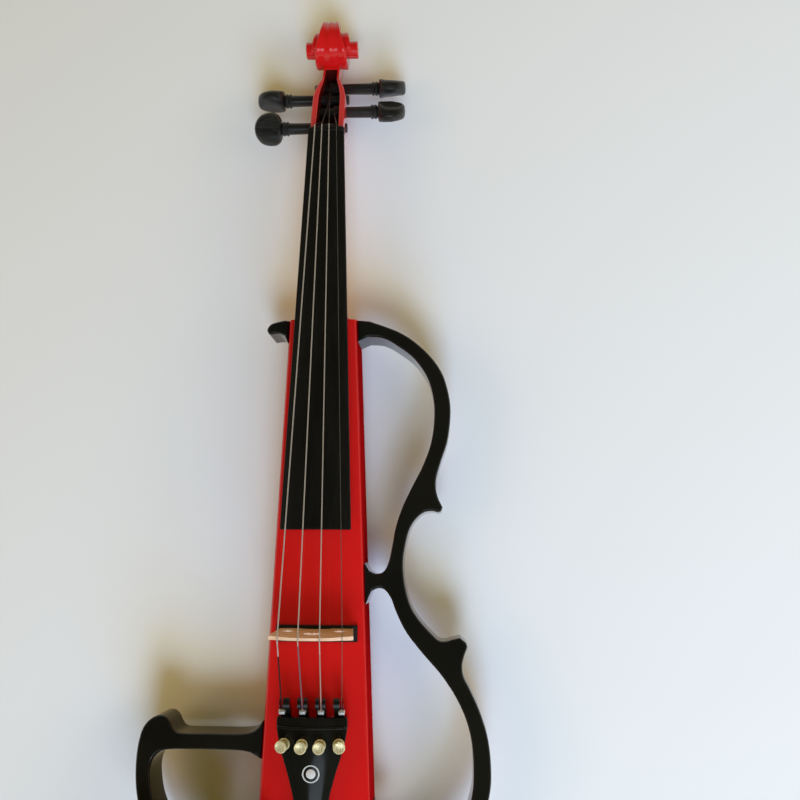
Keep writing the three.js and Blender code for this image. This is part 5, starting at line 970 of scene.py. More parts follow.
@dataclass
class Wings:
    """The black open frame on both sides of the core."""

    plan: Plan
    frame_reach: float = 104.2
    loop_reach: float = 108.3
    horn_reach: float = 36.3
    horn_drop: float = 15.0
    front: float = 43.5
    back: float = 17.0
    edge_round: float = 1.8
    detail: int = 7
    shoulder_shares: Rows = (
        (0.095, 0.003), (0.216, 0.013), (0.337, 0.025), (0.457, 0.044), (0.578, 0.072), (0.663, 0.104),
        (0.710, 0.146), (0.714, 0.180), (0.687, 0.222), (0.635, 0.256), (0.596, 0.284), (0.589, 0.303),
        (0.604, 0.320), (0.639, 0.337),
    )
    waist_shares: Rows = (
        (0.628, 0.344), (0.602, 0.346), (0.558, 0.344), (0.493, 0.346), (0.427, 0.357), (0.372, 0.375),
        (0.335, 0.402), (0.313, 0.433), (0.323, 0.469), (0.364, 0.504), (0.435, 0.529), (0.540, 0.553),
        (0.593, 0.562), (0.648, 0.563), (0.701, 0.560), (0.762, 0.557),
    )
    lower_shares: Rows = (
        (0.809, 0.565), (0.819, 0.573), (0.794, 0.587), (0.776, 0.604), (0.787, 0.621), (0.840, 0.643),
        (0.914, 0.677), (0.977, 0.719), (1.000, 0.764), (0.988, 0.806), (0.911, 0.857), (0.768, 0.904),
        (0.561, 0.947), (0.282, 0.978),
    )
    lower_window_shares: Rows = (
        (0.154, 0.951), (0.360, 0.935), (0.565, 0.907), (0.740, 0.862), (0.835, 0.812), (0.854, 0.764),
        (0.831, 0.713), (0.749, 0.666), (0.615, 0.622), (0.456, 0.584), (0.325, 0.549), (0.250, 0.517),
        (0.206, 0.492), (0.156, 0.478), (0.102, 0.476), (0.049, 0.481),
    )
    upper_window_shares: Rows = (
        (0.036, 0.446), (0.094, 0.451), (0.154, 0.447), (0.196, 0.431), (0.230, 0.402), (0.263, 0.369),
        (0.326, 0.333), (0.407, 0.298), (0.487, 0.265), (0.554, 0.226), (0.584, 0.185), (0.582, 0.146),
        (0.538, 0.108), (0.442, 0.074), (0.321, 0.051), (0.200, 0.035), (0.078, 0.032),
    )
    loop_outer_shares: Rows = (
        (0.034, 0.705), (0.078, 0.713), (0.183, 0.717), (0.406, 0.717), (0.615, 0.717), (0.687, 0.715),
        (0.723, 0.707), (0.748, 0.697), (0.794, 0.689), (0.859, 0.690), (0.931, 0.701), (0.977, 0.722),
        (1.000, 0.761), (0.987, 0.809), (0.921, 0.860), (0.806, 0.902), (0.613, 0.944), (0.335, 0.975),
    )
    loop_window_shares: Rows = (
        (0.173, 0.950), (0.366, 0.935), (0.574, 0.909), (0.740, 0.869), (0.842, 0.829), (0.882, 0.789),
        (0.872, 0.765), (0.824, 0.750), (0.746, 0.744), (0.561, 0.743), (0.363, 0.743), (0.179, 0.744),
        (0.085, 0.747),
    )
    horn_shares: Rows = (
        (0.202, 0.000), (0.552, 0.071), (0.837, 0.166), (0.979, 0.332), (1.000, 0.475), (0.876, 0.617),
        (0.653, 0.593), (0.398, 0.593), (0.179, 0.688),
    )
    joint_shares: Rows = ((0.001, 0.040), (0.433, 0.503), (0.955, 0.991), (0.695, 0.757), (0.024, 0.997))

    def seat(self, y: float) -> tuple[float, float]:
        """A point beside the core's side."""
        return self.plan.core_half(y) + self.plan.seat_gap, y

    def curve(self, shares: Rows, reach: float, along: Callable[[float], float]) -> Outline:
        """A smooth run of an outline.

        Args:
            shares: rows of across and along.
            reach: how far from the middle the wing reaches.
            along: gives the place along for a share.

        Returns:
            The run's points.
        """
        places = [(across, *self.seat(along(down))) for across, down in shares]
        return spline([(lerp(side, reach, across), y) for across, side, y in places], self.detail)

    def ends(self, row: int, along: Callable[[float], float]) -> Outline:
        """The two points where a limb of a wing meets the core."""
        return [self.seat(along(share)) for share in self.joint_shares[row]]

    def right_outline(self) -> Outline:
        """The right wing's outline."""
        along, reach = self.plan.along, self.frame_reach
        shoulder, waist, tail = [self.ends(row, along) for row in range(3)]
        return [
            shoulder[0],
            *self.curve(self.shoulder_shares, reach, along),
            *self.curve(self.waist_shares, reach, along),
            *self.curve(self.lower_shares, reach, along),
            *reversed(tail),
            *self.curve(self.lower_window_shares, reach, along),
            *reversed(waist),
            *self.curve(self.upper_window_shares, reach, along),
            shoulder[1],
        ]

    def left_outline(self) -> Outline:
        """The left loop's outline, drawn on the right."""
        along, reach = self.plan.along, self.loop_reach
        tail, loop = [self.ends(row, along) for row in (2, 3)]
        outer = self.curve(self.loop_outer_shares, reach, along)
        window = self.curve(self.loop_window_shares, reach, along)
        return [loop[0], *outer, *reversed(tail), *window, loop[1]]

    def horn_outline(self) -> Outline:
        """The upper horn's outline, drawn on the right."""

        def along(share: float) -> float:
            """Place along at a share of the horn's drop."""
            return self.plan.top - share * self.horn_drop

        upper, lower = self.ends(4, along)
        return [upper, *self.curve(self.horn_shares, self.horn_reach, along), lower]

    def build(self, shop: Workshop) -> None:
        """Makes the three wings.

        Args:
            shop: makes the pieces.
        """
        runs = (
            ("right_frame", self.right_outline(), 1),
            ("left_loop", self.left_outline(), -1),
            ("upper_horn", self.horn_outline(), -1),
        )
        for node, outline, side in runs:
            placed = [(side * x, y) for x, y in outline]
            skin = rounded_plate(placed, self.back, self.front, self.edge_round)
            shop.piece(f"{node}_smooth", skin, Look.BLACK, replaces=[node], crease=50, even=True)


@dataclass
class Neck:
    """The neck with its heel, the pegbox, the scroll, the fingerboard and the nut."""

    plan: Plan
    board_length: float = 261.9
    board_nut_width: float = 23.9
    board_end_width: float = 42.9
    board_radius: float = 42.0
    board_edge: float = 5.0
    board_scoop: float = 2.2
    board_nut_rise: float = 1.2
    board_end_rise: float = 15.5
    board_overhang: float = 0.3
    board_round: float = 0.8
    nut_proud: float = 0.6
    nut_spread: float = 14.4
    groove_depth: float = 0.35
    groove_width: float = 0.4
    neck_thickness: float = 19.0
    heel_thickness: float = 21.5
    heel_length: float = 30.0
    heel_floor: float = 4.0
    heel_curve: float = 2.4
    box_half: float = 11.2
    box_rim: float = 0.7
    box_foot: float = 1.2
    box_wall: float = 1.6
    box_heel_radius: float = 5.5
    box_belly_radius: float = 2.2
    cavity_half: float = 7.5
    scroll_radius: float = 19.5
    scroll_half: float = 11.0
    hub_radius: float = 1.5
    flute: float = 0.5
    eye_radius: float = 5.9
    eye_half: float = 18.2
    box_top_shares: Rows = ((0.0, 0.071), (0.645, 0.665), (0.716, 0.784), (0.816, 0.863), (0.943, 0.863))
    box_bottom_shares: Rows = (
        (-0.149, 0.530), (-0.092, 0.640), (0.0, 0.784), (0.078, 1.045), (0.191, 1.220), (0.376, 1.375),
        (0.589, 1.549), (0.801, 1.690), (0.943, 1.722),
    )
    box_plan_shares: Rows = (
        (-0.18, 1.027), (0.0, 0.982), (0.191, 1.0), (0.390, 0.991), (0.489, 0.884), (0.574, 0.688),
        (0.645, 0.509), (0.972, 0.491),
    )
    floor_shares: Rows = (
        (0.012, 0.09), (0.030, 0.740), (0.060, 0.900), (0.300, 1.060), (0.560, 1.350), (0.735, 1.380),
        (0.748, 1.200), (0.757, 0.80),
    )
    cavity_plan_shares: Rows = (
        (-0.02, 1.013), (0.390, 0.96), (0.504, 0.827), (0.603, 0.613), (0.7, 0.53), (0.76, 0.52),
    )
    first_turn_shares: Rows = (
        (-135, 1.090, 0.505), (-90, 1.000, 0.500), (-45, 1.005, 0.491), (0, 0.995, 0.482), (32, 0.979, 0.482),
        (60, 0.940, 0.570), (83, 0.887, 0.700), (122, 0.810, 0.963), (160, 0.744, 1.0), (190, 0.708, 1.0),
    )
    second_turn_shares: Rows = (
        (172, 0.690, 1.0), (240, 0.662, 1.0), (300, 0.646, 1.0), (360, 0.625, 1.0), (392, 0.600, 1.05),
        (450, 0.490, 1.20), (496, 0.385, 1.30),
    )

    def board_half(self, y: float) -> float:
        """Half width of the fingerboard."""
        share = (self.plan.string_length - y) / self.board_length
        return lerp(self.board_nut_width, self.board_end_width, share) / 2

    def board_rise(self, y: float) -> float:
        """Height of the fingerboard's edge."""
        share = (self.plan.string_length - y) / self.board_length
        return self.plan.depth + lerp(self.board_nut_rise, self.board_end_rise, share)

    def board_top(self, x: float, y: float) -> float:
        """Height of the arched fingerboard."""
        half, radius = self.board_half(y), self.board_radius
        return self.board_rise(y) + math.sqrt(radius**2 - x**2) - math.sqrt(radius**2 - half**2)

    def neck_top(self, y: float) -> float:
        """Height of the neck's flat under the fingerboard."""
        return self.board_rise(y) - self.board_edge - self.plan.seat_gap

    def board_ring(self, y: float, pulled: float = 0.0) -> list[Vector]:
        """The fingerboard's section.

        Args:
            y: the place along.
            pulled: how far the section is drawn in, for a rounded end.

        Returns:
            The section's ring.
        """
        top_steps, bottom_steps, r = 32, 16, self.board_round
        half = self.board_half(y) - pulled
        underside = self.board_rise(y) - self.board_edge + pulled
        edge = self.board_top(self.board_half(y) - r, y) - pulled
        right = [(half - self.board_overhang, underside), *arc((half - r, edge - r), r, 0, 75, 4)]
        xs = [lerp(half - r * 0.7, -half + r * 0.7, k / top_steps) for k in range(1, top_steps)]
        ring = [*right, *[(x, self.board_top(x, y) - pulled) for x in xs], *mirrored(right)]
        start = self.plan.top - self.heel_length / 2
        scoop = self.board_scoop * smoothstep(y, start, start - self.heel_length) if y < start else 0.0
        rail = self.board_half(y) - self.board_edge
        for k in range(1, bottom_steps):
            x = lerp(-rail, rail, k / bottom_steps)
            ring.append((x, underside + scoop * (1 - (x / rail) ** 2)))
        return [Vector((x, y, z)) for x, z in ring]

    def board(self) -> Skin:
        """The fingerboard's skin."""
        near, far = self.plan.string_length - self.plan.seat_gap, self.plan.string_length - self.board_length
        start = self.plan.top - self.heel_length / 2
        stations = [far + 0.5, far + 2]
        for stop, steps in ((start - self.heel_length, 5), (start, 6), (near, 8)):
            last = stations[-1]
            stations += [lerp(last, stop, k / steps) for k in range(1, steps + 1)]
        rounded_end = [self.board_ring(far, 0.5), self.board_ring(far + 0.15, 0.15)]
        return Skin().loft([*rounded_end, *[self.board_ring(y) for y in stations]])

    def nut(self) -> Skin:
        """The upper nut with its string grooves."""
        steps, end_drop, end_from = 120, 0.8, 0.93
        near, back = self.plan.string_length, self.plan.nut_back - self.plan.seat_gap
        half = self.board_half(near)
        grooves = [self.nut_spread * (i / 3 - 0.5) for i in range(4)]

        def ring(y: float, drop: float) -> list[Vector]:
            """Section of the nut with its crest lowered."""
            points = []
            for k in range(steps + 1):
                x = lerp(half, -half, k / steps)
                cut = sum(math.exp(-(((x - groove) / self.groove_width) ** 2)) for groove in grooves)
                round_off = end_drop * max(0.0, abs(x) / half - end_from) / (1 - end_from)
                lowered = drop + self.groove_depth * cut + round_off
                points.append(Vector((x, y, self.board_top(x, near) + self.nut_proud - lowered)))
            floor = self.neck_top(near) + self.plan.seat_gap
            return [*points, Vector((-half, y, floor)), Vector((half, y, floor))]

        crest = [(0.0, 0.45), (0.12, 0.15), (0.3, 0.02), (0.5, 0.0), (0.7, 0.1), (0.88, 0.45), (1.0, 0.9)]
        return Skin().loft([ring(lerp(near, back, share), drop) for share, drop in crest])

    def neck(self) -> Skin:
        """The neck and its heel."""
        steps = 28
        near = self.plan.string_length
        rings = []
        heel = [self.plan.top + self.plan.seat_gap + self.heel_length * (k / 18) ** 1.4 for k in range(19)]
        stations = [*heel, *[lerp(heel[-1], near, k / 8) for k in range(1, 9)], self.plan.nut_back + 1.4]
        for y in stations:
            share = (near - y) / (near - self.plan.top)
            board = self.board_top(0, y) - self.neck_top(y)
            plain = lerp(self.neck_thickness, self.heel_thickness, share) - board
            heel_share = max(0.0, 1 - (y - self.plan.top) / self.heel_length) ** self.heel_curve
            deep = lerp(plain, self.neck_top(y) - self.heel_floor, heel_share)
            half = self.board_half(min(y, near)) - self.board_overhang
            top, turns = self.neck_top(y), [math.pi * k / steps for k in range(steps + 1)]
            rings.append([Vector((half * math.cos(t), y, top - deep * math.sin(t) ** 0.8)) for t in turns])
        return Skin().loft(rings)

    def cavity(self, share: float) -> tuple[float, float, float]:
        """Half width, floor and top of the pegbox's cavity at a share of the eye's reach."""
        plan = self.plan
        inner = read_smooth(self.cavity_plan_shares, share)[0] * self.cavity_half
        floor = plan.depth - read_table(self.floor_shares, share)[0] * plan.eye_drop
        return inner, floor, plan.depth - read_table(self.box_top_shares, share)[0] * plan.eye_drop

    def box_ring(self, share: float) -> list[Vector]:
        """The pegbox's section, a trough between two walls.

        Args:
            share: the place along as a share of the eye's reach.

        Returns:
            The section's ring.
        """
        plan, rim = self.plan, self.box_rim
        inner, floor, top = self.cavity(share)
        if share < 0:
            top = self.neck_top(plan.string_length)
        bottom = plan.depth - read_smooth(self.box_bottom_shares, share)[0] * plan.eye_drop
        half = read_smooth(self.box_plan_shares, share)[0] * self.box_half
        inner = min(inner, half - self.box_wall)
        opened = self.floor_shares[0][0] < share < self.floor_shares[-1][0]
        deep = max(0.0, top - floor) if opened else 0.0
        heel = lerp(self.box_heel_radius, self.box_belly_radius, smoothstep(share, -0.149, 0.06))
        rim_in, foot_in = min(rim, deep / 2), min(self.box_foot, deep / 2)
        right = arc((half - heel, bottom + heel), heel, -90, 0, 6)
        right += arc((half - rim, top - rim), rim, 0, 90, 4)
        right += arc((inner + rim_in, top - rim_in), rim_in, 90, 180, 4)
        right += arc((inner - foot_in, top - deep + foot_in), foot_in, 0, -90, 4)
        y = plan.nut_back + share * plan.eye_reach
        return [Vector((x, y, z)) for x, z in right + mirrored(right)]

    def box(self) -> Skin:
        """The pegbox's skin."""
        shares = [-0.149, -0.11, -0.07, -0.035, -0.002, 0.002, 0.012, 0.0125, 0.02, 0.03, 0.045, 0.06]
        shares += [lerp(0.06, 0.66, k / 36) for k in range(1, 37)]
        shares += [0.675, 0.69, 0.705, 0.72, 0.735, 0.742, 0.748, 0.753, 0.7565, 0.7575]
        shares += [0.78, 0.80, 0.84, 0.88, 0.92, 0.943]
        return Skin().loft([self.box_ring(share) for share in shares])

    def is_inside(self, at: Vector) -> bool:
        """Tells whether a place on the pegbox is on its cavity's walls or floor, which carry painted shade.

        Args:
            at: the place in millimetres.

        Returns:
            Whether it is.
        """
        end_slack, side_slack, floor_slack, rim_slack = 0.004, 0.2, 0.3, 0.6
        share = (at.y - self.plan.nut_back) / self.plan.eye_reach
        if not self.floor_shares[0][0] < share < self.floor_shares[-1][0] + end_slack:
            return False
        inner, floor, top = self.cavity(share)
        return abs(at.x) < inner + side_slack and floor - floor_slack < at.z < top - rim_slack

    def turn(self, shares: Rows, steps: int) -> Skin:
        """One turn of the scroll, fluted on its rim.

        Args:
            shares: rows of angle, radius share and half width share.
            steps: sections along the turn.

        Returns:
            The turn's skin.
        """
        rim_steps, lip, corner_from, corner_drop, flute_reach = 32, 1.4, 0.88, 0.55, 0.86
        eye_y, eye_z = self.plan.eye
        rings = []
        for i in range(steps + 1):
            angle = lerp(shares[0][0], shares[-1][0], i / steps)
            radius_share, width_share = read_smooth(shares, angle)
            radius, half = radius_share * self.scroll_radius, width_share * self.scroll_half
            section = [(self.hub_radius, -half), (radius - lip, -half)]
            for k in range(rim_steps + 1):
                across = lerp(-1, 1, k / rim_steps)
                corner = max(0.0, abs(across) - corner_from) / (1 - corner_from)
                sunk = self.flute * math.sin(math.pi * min(1.0, abs(across) / flute_reach)) ** 2
                drop = sunk + corner_drop * (1 - math.sqrt(max(0.0, 1 - corner**2)))
                section.append((radius - drop, across * half))
            section += [(radius - lip, half), (self.hub_radius, half)]
            along, up = math.cos(math.radians(angle)), math.sin(math.radians(angle))
            rings.append([Vector((x, eye_y + r * along, eye_z + r * up)) for r, x in section])
        return Skin().loft(rings)

    def scroll_eye(self) -> Skin:
        """The scroll's eye, with its two round ears."""
        r, half, soft = self.eye_radius, self.eye_half, 0.7
        edge = arc((r - soft, half - soft), soft, 0, 90, 4)
        right = [(r, 0.0), *edge, (0.0, half)]
        left = [(radius, -height) for radius, height in reversed(right[1:])]
        return lathe([*left, *right], 64, X_AXIS).moved(Matrix.Translation((0, *self.plan.eye)))

    def build(self, shop: Workshop) -> None:
        """Makes the neck's pieces.

        Args:
            shop: makes the pieces.
        """
        steps = 110
        scroll = self.turn(self.first_turn_shares, steps).add(self.turn(self.second_turn_shares, steps))
        scroll.add(self.scroll_eye())
        pieces = {}
        for name, skin in (("scroll", scroll), ("pegbox", self.box()), ("neck_and_heel", self.neck())):
            pieces[name] = shop.piece(name, skin, Look.RED, replaces=["neck_and_scroll"])
        # The cavity's walls and floor get the darker red copy: painted shade.
        shop.paint(pieces["pegbox"], Look.INSIDE, lambda face: self.is_inside(face.center / MM))
        shop.piece("arched_board", self.board(), Look.BOARD, replaces=["fingerboard"])
        shop.piece("grooved_nut", self.nut(), Look.NUT, replaces=["upper_nut"])


@dataclass
class Pegs:
    """The four tuning pegs."""

    tip_radius: float = 3.3
    neck_radius: float = 3.9
    tip_reach: float = 12.2
    collar_reach: float = 28.0
    collar_radius: float = 4.9
    head_reach: float = 33.0
    reach: float = 51.6
    head_radius: float = 11.1
    head_half_thickness: float = 6.4
    hollow: float = 0.9
    turns: tuple[float, ...] = (25.0, 92.0, 112.0, 138.0)
    head_shares: Rows = (
        (0.0, 0.50, 0.93), (0.01, 0.58, 1.0), (0.05, 0.745, 1.0), (0.14, 0.90, 0.98), (0.30, 0.995, 0.94),
        (0.42, 1.0, 0.91), (0.60, 0.955, 0.87), (0.75, 0.85, 0.84), (0.88, 0.64, 0.78), (0.95, 0.44, 0.66),
        (0.985, 0.25, 0.46), (1.0, 0.02, 0.05),
    )
    collar_shares: Rows = (
        (0.0, 0.80), (0.02, 0.92), (0.06, 0.97), (0.16, 1.0), (0.24, 0.97), (0.30, 0.86), (0.38, 0.84),
        (0.46, 0.93), (0.55, 0.97), (0.70, 0.97), (0.80, 0.90), (0.88, 0.80), (1.0, 0.74),
    )

    def shaft(self) -> Skin:
        """The tapered shaft with its turned collar."""
        tip, soft, collar = -self.tip_reach, 0.6, self.collar_radius
        rows = [(0.0, tip), (self.tip_radius - soft, tip), (self.tip_radius, tip + soft)]
        rows.append((self.neck_radius, self.collar_reach))
        for along, across in self.collar_shares:
            rows.append((across * collar, lerp(self.collar_reach, self.head_reach, along)))
        rows.append((collar * 0.5, self.head_reach + 1.0))
        return lathe(rows, 48, X_AXIS)

    def head(self) -> Skin:
        """The flat thumb piece, hollowed on both faces."""
        stations, sides, dish_share, rings = 40, 48, 0.55, []
        for i in range(stations + 1):
            along = 0.5 - 0.5 * math.cos(math.pi * i / stations)
            across, thick = read_smooth(self.head_shares, along)
            wide = across * self.head_radius
            deep = min(thick * self.head_half_thickness, wide)
            dish = self.hollow * smoothstep(along, 0.03, 0.35) * (1 - smoothstep(along, 0.7, 1.0))
            power = lerp(0.8, 1.0, min(1.0, abs(along - 0.5) * 2))
            ring = []
            for angle in round_angles(sides):
                y = wide * math.copysign(abs(math.cos(angle)) ** power, math.cos(angle))
                z = deep * math.copysign(abs(math.sin(angle)) ** power, math.sin(angle))
                if abs(z) > dish:
                    z -= math.copysign(dish * math.exp(-((y / (dish_share * wide + 0.01)) ** 2)), z)
                ring.append(Vector((lerp(self.head_reach, self.reach, along), y, z)))
            rings.append(ring)
        return Skin().loft(rings)

    def build(self, shop: Workshop) -> None:
        """Makes the pegs, each on its own body.

        Args:
            shop: makes the pieces.
        """
        for name in StringName:
            key, at = name.key, shop.pivot(f"{name.key}_peg_turn")
            turn = Matrix.Rotation(math.radians(self.turns[name.value]), 4, "X")
            mirror = Matrix.Diagonal((name.side, 1, 1, 1))
            skin = self.shaft().add(self.head()).moved(Matrix.Translation(at) @ turn @ mirror)
            shop.piece(f"turned_peg_{key}", skin, Look.EBONY_ACROSS, f"{key}_peg", [f"peg_{key}"], crease=60)


@dataclass
class Strings:
    """The strings, their silk, their windings on the pegs and their ball ends."""

    pegs: Pegs
    radii: tuple[float, ...] = (0.4, 0.37, 0.34, 0.2)
    silk_starts: tuple[float, ...] = (9.6, 3.0, 8.0, 0.0)
    silk_grow: float = 0.06
    winding_starts: tuple[float, ...] = (-2.6, 0.4, -1.2, 2.2)
    winding_turns: tuple[int, ...] = (3, 4, 4, 4)
    winding_gap: float = 0.5
    winding_lift: float = 0.3
    winding_grow: float = 0.12
    ring_apart: float = 0.7
    nut_slack: float = 0.3
    ball_radius: float = 1.6
    ball_length: float = 3.6
    wires: tuple[Look, ...] = (Look.WIRE, Look.WIRE, Look.WIRE, Look.PLAIN_WIRE)
    silks: tuple[Look, ...] = (Look.RED_SILK, Look.PURPLE_SILK, Look.MIXED_SILK, Look.PLAIN_WIRE)
    # The D and A peg ends use the dark silk, whose darkness is partly painted shade.
    coils: tuple[Look, ...] = (Look.RED_SILK, Look.PEG_SILK, Look.PEG_SILK, Look.PLAIN_WIRE)

    def route(self, shop: Workshop, name: StringName) -> list[Vector]:
        """The points that a string's solid turns at, found from its rings.

        Args:
            shop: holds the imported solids.
            name: the string.

        Returns:
            The ring centres from the ball end to the peg.
        """
        solid = shop.frame["nodes"][f"string_{name.key}"]
        corners_seen = {tuple(round(c / MM, 4) for c in v.co) for v in solid.data.vertices}
        first, *rest = sorted(corners_seen, key=lambda p: p[1])
        rings: list[list[tuple]] = [[first]]
        for point in rest:
            if point[1] - rings[-1][-1][1] > self.ring_apart:
                rings.append([])
            rings[-1].append(point)
        return [Vector(np.mean(ring, 0)) for ring in rings]

    def eased(self, route: list[Vector], reach: float = 0.6) -> list[Vector]:
        """A route with its corners eased into short curves.

        Args:
            route: the corner points.
            reach: how far from a corner its curve starts.

        Returns:
            The eased path.
        """
        path = [route[0]]
        for before, corner, after in zip(route, route[1:], route[2:]):
            start = corner + (before - corner).normalized() * reach
            end = corner + (after - corner).normalized() * reach
            for k in range(5):
                t = k / 4
                path.append(start * (1 - t) ** 2 + corner * 2 * t * (1 - t) + end * t * t)
        return [*path, route[-1]]

    def coil(self, name: StringName, nut_end: Vector, axis: Vector) -> Skin:
        """The helix of a string's winding on its peg.

        Args:
            name: the string.
            nut_end: where the string leaves the nut.
            axis: the peg's place.

        Returns:
            The winding's skin.
        """
        i = name.value
        radius = self.pegs.neck_radius + self.winding_lift + self.radii[i]
        dy, dz = axis.y - nut_end.y, axis.z - nut_end.z
        start = math.atan2(dz, dy) + math.asin(radius / math.hypot(dy, dz)) + math.pi / 2
        steps, pitch = 72, 2 * self.radii[i] + self.winding_gap
        path = []
        for k in range(self.winding_turns[i] * steps + 1):
            turn = start - 2 * math.pi * k / steps
            x = self.winding_starts[i] + name.side * pitch * k / steps
            path.append(Vector((x, axis.y + radius * math.cos(turn), axis.z + radius * math.sin(turn))))
        return tube(path, self.radii[i] + self.winding_grow, 10)

    def build(self, shop: Workshop) -> None:
        """Makes the strings' pieces.

        Args:
            shop: makes the pieces.
        """
        for name in StringName:
            i, key = name.value, name.key
            radius, silk_start = self.radii[i], self.silk_starts[i]
            route = self.route(shop, name)
            path = self.eased(route)
            split = route[1] + (route[0] - route[1]).normalized() * silk_start
            nut_end = max(k for k, point in enumerate(path) if point.y <= route[4].y + self.nut_slack)
            wire = [split if silk_start else path[0], *path[1 : nut_end + 1]]
            lengths = [
                ("peg_end", path[nut_end:], radius, self.coils[i]),
                ("wire", wire, radius, self.wires[i]),
                ("silk", [path[0], split], radius + self.silk_grow, self.silks[i]),
            ]
            for part, points, thick, look in lengths if silk_start else lengths[:2]:
                shop.piece(f"string_{part}_{key}", tube(points, thick, 12), look, replaces=[f"string_{key}"])
            coil = self.coil(name, route[4], shop.pivot(f"{key}_peg_turn"))
            shop.piece(f"winding_coil_{key}", coil, self.coils[i], f"{key}_peg", [f"string_winding_{key}"])
            self.ball(shop, name)

    def ball(self, shop: Workshop, name: StringName) -> None:
        """Makes a string's ball end.

        Args:
            shop: makes the piece.
            name: the string.
        """
        low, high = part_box(f"ball_end_{name.key}")
        centre = (low + high) / 2 / MM
        half, r, soft = self.ball_length / 2, self.ball_radius, 0.5
        right = arc((r - soft, half - soft), soft, 0, 90, 4)
        right += [(0.8, half), (0.55, half - 0.4)]
        rows = [*[(radius, -height) for radius, height in reversed(right)], *right]
        skin = lathe(rows, 32, X_AXIS).moved(Matrix.Translation(centre))
        shop.piece(f"string_ball_{name.key}", skin, Look.STEEL, f"{name.key}_lever", [f"ball_end_{name.key}"])


@dataclass
class Bridge:
    """The maple bridge and the pickup strip under its feet."""

    plan: Plan
    height: float = 32.7
    radius: float = 42.0
    top_width: float = 49.6
    spread: float = 37.5
    foot_span: float = 44.4
    foot_length: float = 13.0
    foot_height: float = 1.4
    foot_thickness: float = 4.7
    top_thickness: float = 1.5
    shoulder_drop: float = 7.2
    arch_height: float = 1.3
    heart_radius: float = 3.1
    kidney_radius: float = 2.6
    kidney_reach: float = 15.8
    kidney_stretch: float = 1.6
    heart_share: float = 0.56
    kidney_share: float = 0.29
    pickup_height: float = 1.3
    edge_round: float = 0.22
    side_shares: Rows = ((0.992, 0.70), (0.975, 0.56), (0.950, 0.40), (0.925, 0.25), (0.905, 0.10))
    arch_shares: Rows = ((0.30, 0.58), (0.20, 0.88), (0.10, 1.0), (0.0, 1.02))

    def outline(self, foot: float) -> Outline:
        """The bridge's outline, counter-clockwise.

        Args:
            foot: height of the feet's soles.

        Returns:
            The outline in X and Z.
        """
        plan, half = self.plan, self.top_width / 2
        tall = self.height - self.pickup_height
        crest_z = plan.depth + self.height - self.radius
        flat = self.spread / 2 + self.foot_thickness / 4
        crest = [(x, crest_z + math.sqrt(self.radius**2 - x**2)) for x in np.linspace(0, flat, 24)]
        corner = (half, plan.depth + self.height - self.shoulder_drop)
        side = spline([(across * half, foot + up * tall) for across, up in self.side_shares], 6)
        outer, inner = self.foot_span / 2, self.foot_span / 2 - self.foot_length
        ankle = foot + self.foot_height / 2
        lean = 0.3
        feet = [(outer - lean, ankle), (outer, foot), (inner, foot), (inner + lean, ankle)]
        arch = spline([(across * half, ankle + up * self.arch_height) for across, up in self.arch_shares], 6)
        right = [*crest, corner, *side, *feet, *arch]
        return counter_clockwise([*right, *mirrored(right[1:-1])])

    def holes(self, foot: float) -> list[Outline]:
        """The heart and the two kidney holes, clockwise.

        Args:
            foot: height of the feet's soles.

        Returns:
            The holes' outlines.
        """
        tall, r = self.height - self.pickup_height, self.heart_radius
        heart_z = foot + tall * self.heart_share
        corners = [(0, 1.4), (1.7, -0.2), (0, -0.35)]
        pulls = [((0.3, 0.8), (1.7, 0.7)), ((1.7, -1.3), (0.3, -1.3))]
        right = []
        for start, end, (first, second) in zip(corners, corners[1:], pulls):
            for k in range(10):
                t = k / 10
                shares = ((1 - t) ** 3, 3 * t * (1 - t) ** 2, 3 * t * t * (1 - t), t**3)
                points = (start, first, second, end)
                right.append(tuple(sum(s * p[axis] for s, p in zip(shares, points)) for axis in (0, 1)))
        right.append(corners[-1])
        heart = [(r * x, heart_z + r * z) for x, z in [*right, *mirrored(right[1:-1])]]
        kidneys = []
        for side in (-1, 1):
            centre = (side * self.kidney_reach, foot + tall * self.kidney_share)
            ring = arc(centre, self.kidney_radius, 0, 360, 28)[:-1]
            kidneys.append([(lerp(centre[0], x, self.kidney_stretch), z) for x, z in ring])
        return [counter_clockwise(hole)[::-1] for hole in (heart, *kidneys)]

    def skin(self) -> Skin:
        """The bridge's skin, thinner towards the strings."""
        foot = self.plan.depth + self.pickup_height + self.plan.seat_gap
        tall = self.height - self.pickup_height
        loops = [self.outline(foot), *self.holes(foot)]
        flat = [point for loop in loops for point in loop]
        cells = tessellate_polygon([[Vector((x, z, 0)) for x, z in loop] for loop in loops])
        made, count = Skin(), len(flat)
        for front in (False, True):
            for x, z in flat:
                thick = lerp(self.foot_thickness, self.top_thickness, (z - foot) / tall) if front else 0
                made.points.append(Vector((x, thick - self.top_thickness / 2, z)))
        made.faces += [tuple(cell) for cell in cells]
        made.faces += [tuple(count + i for i in reversed(cell)) for cell in cells]
        start = 0
        for size in map(len, loops):
            sides = [(start + k, start + (k + 1) % size) for k in range(size)]
            made.faces += [(a, b, b + count, a + count) for a, b in sides]
            start += size
        return made

    def build(self, shop: Workshop) -> None:
        """Makes the bridge and dresses the pickup.

        Args:
            shop: makes the pieces.
        """
        shop.piece("carved_bridge", self.skin(), Look.MAPLE, replaces=["bridge"], bevel=self.edge_round)
        shop.dress("piezo_pickup", Look.PLASTIC, bevel=0.25)


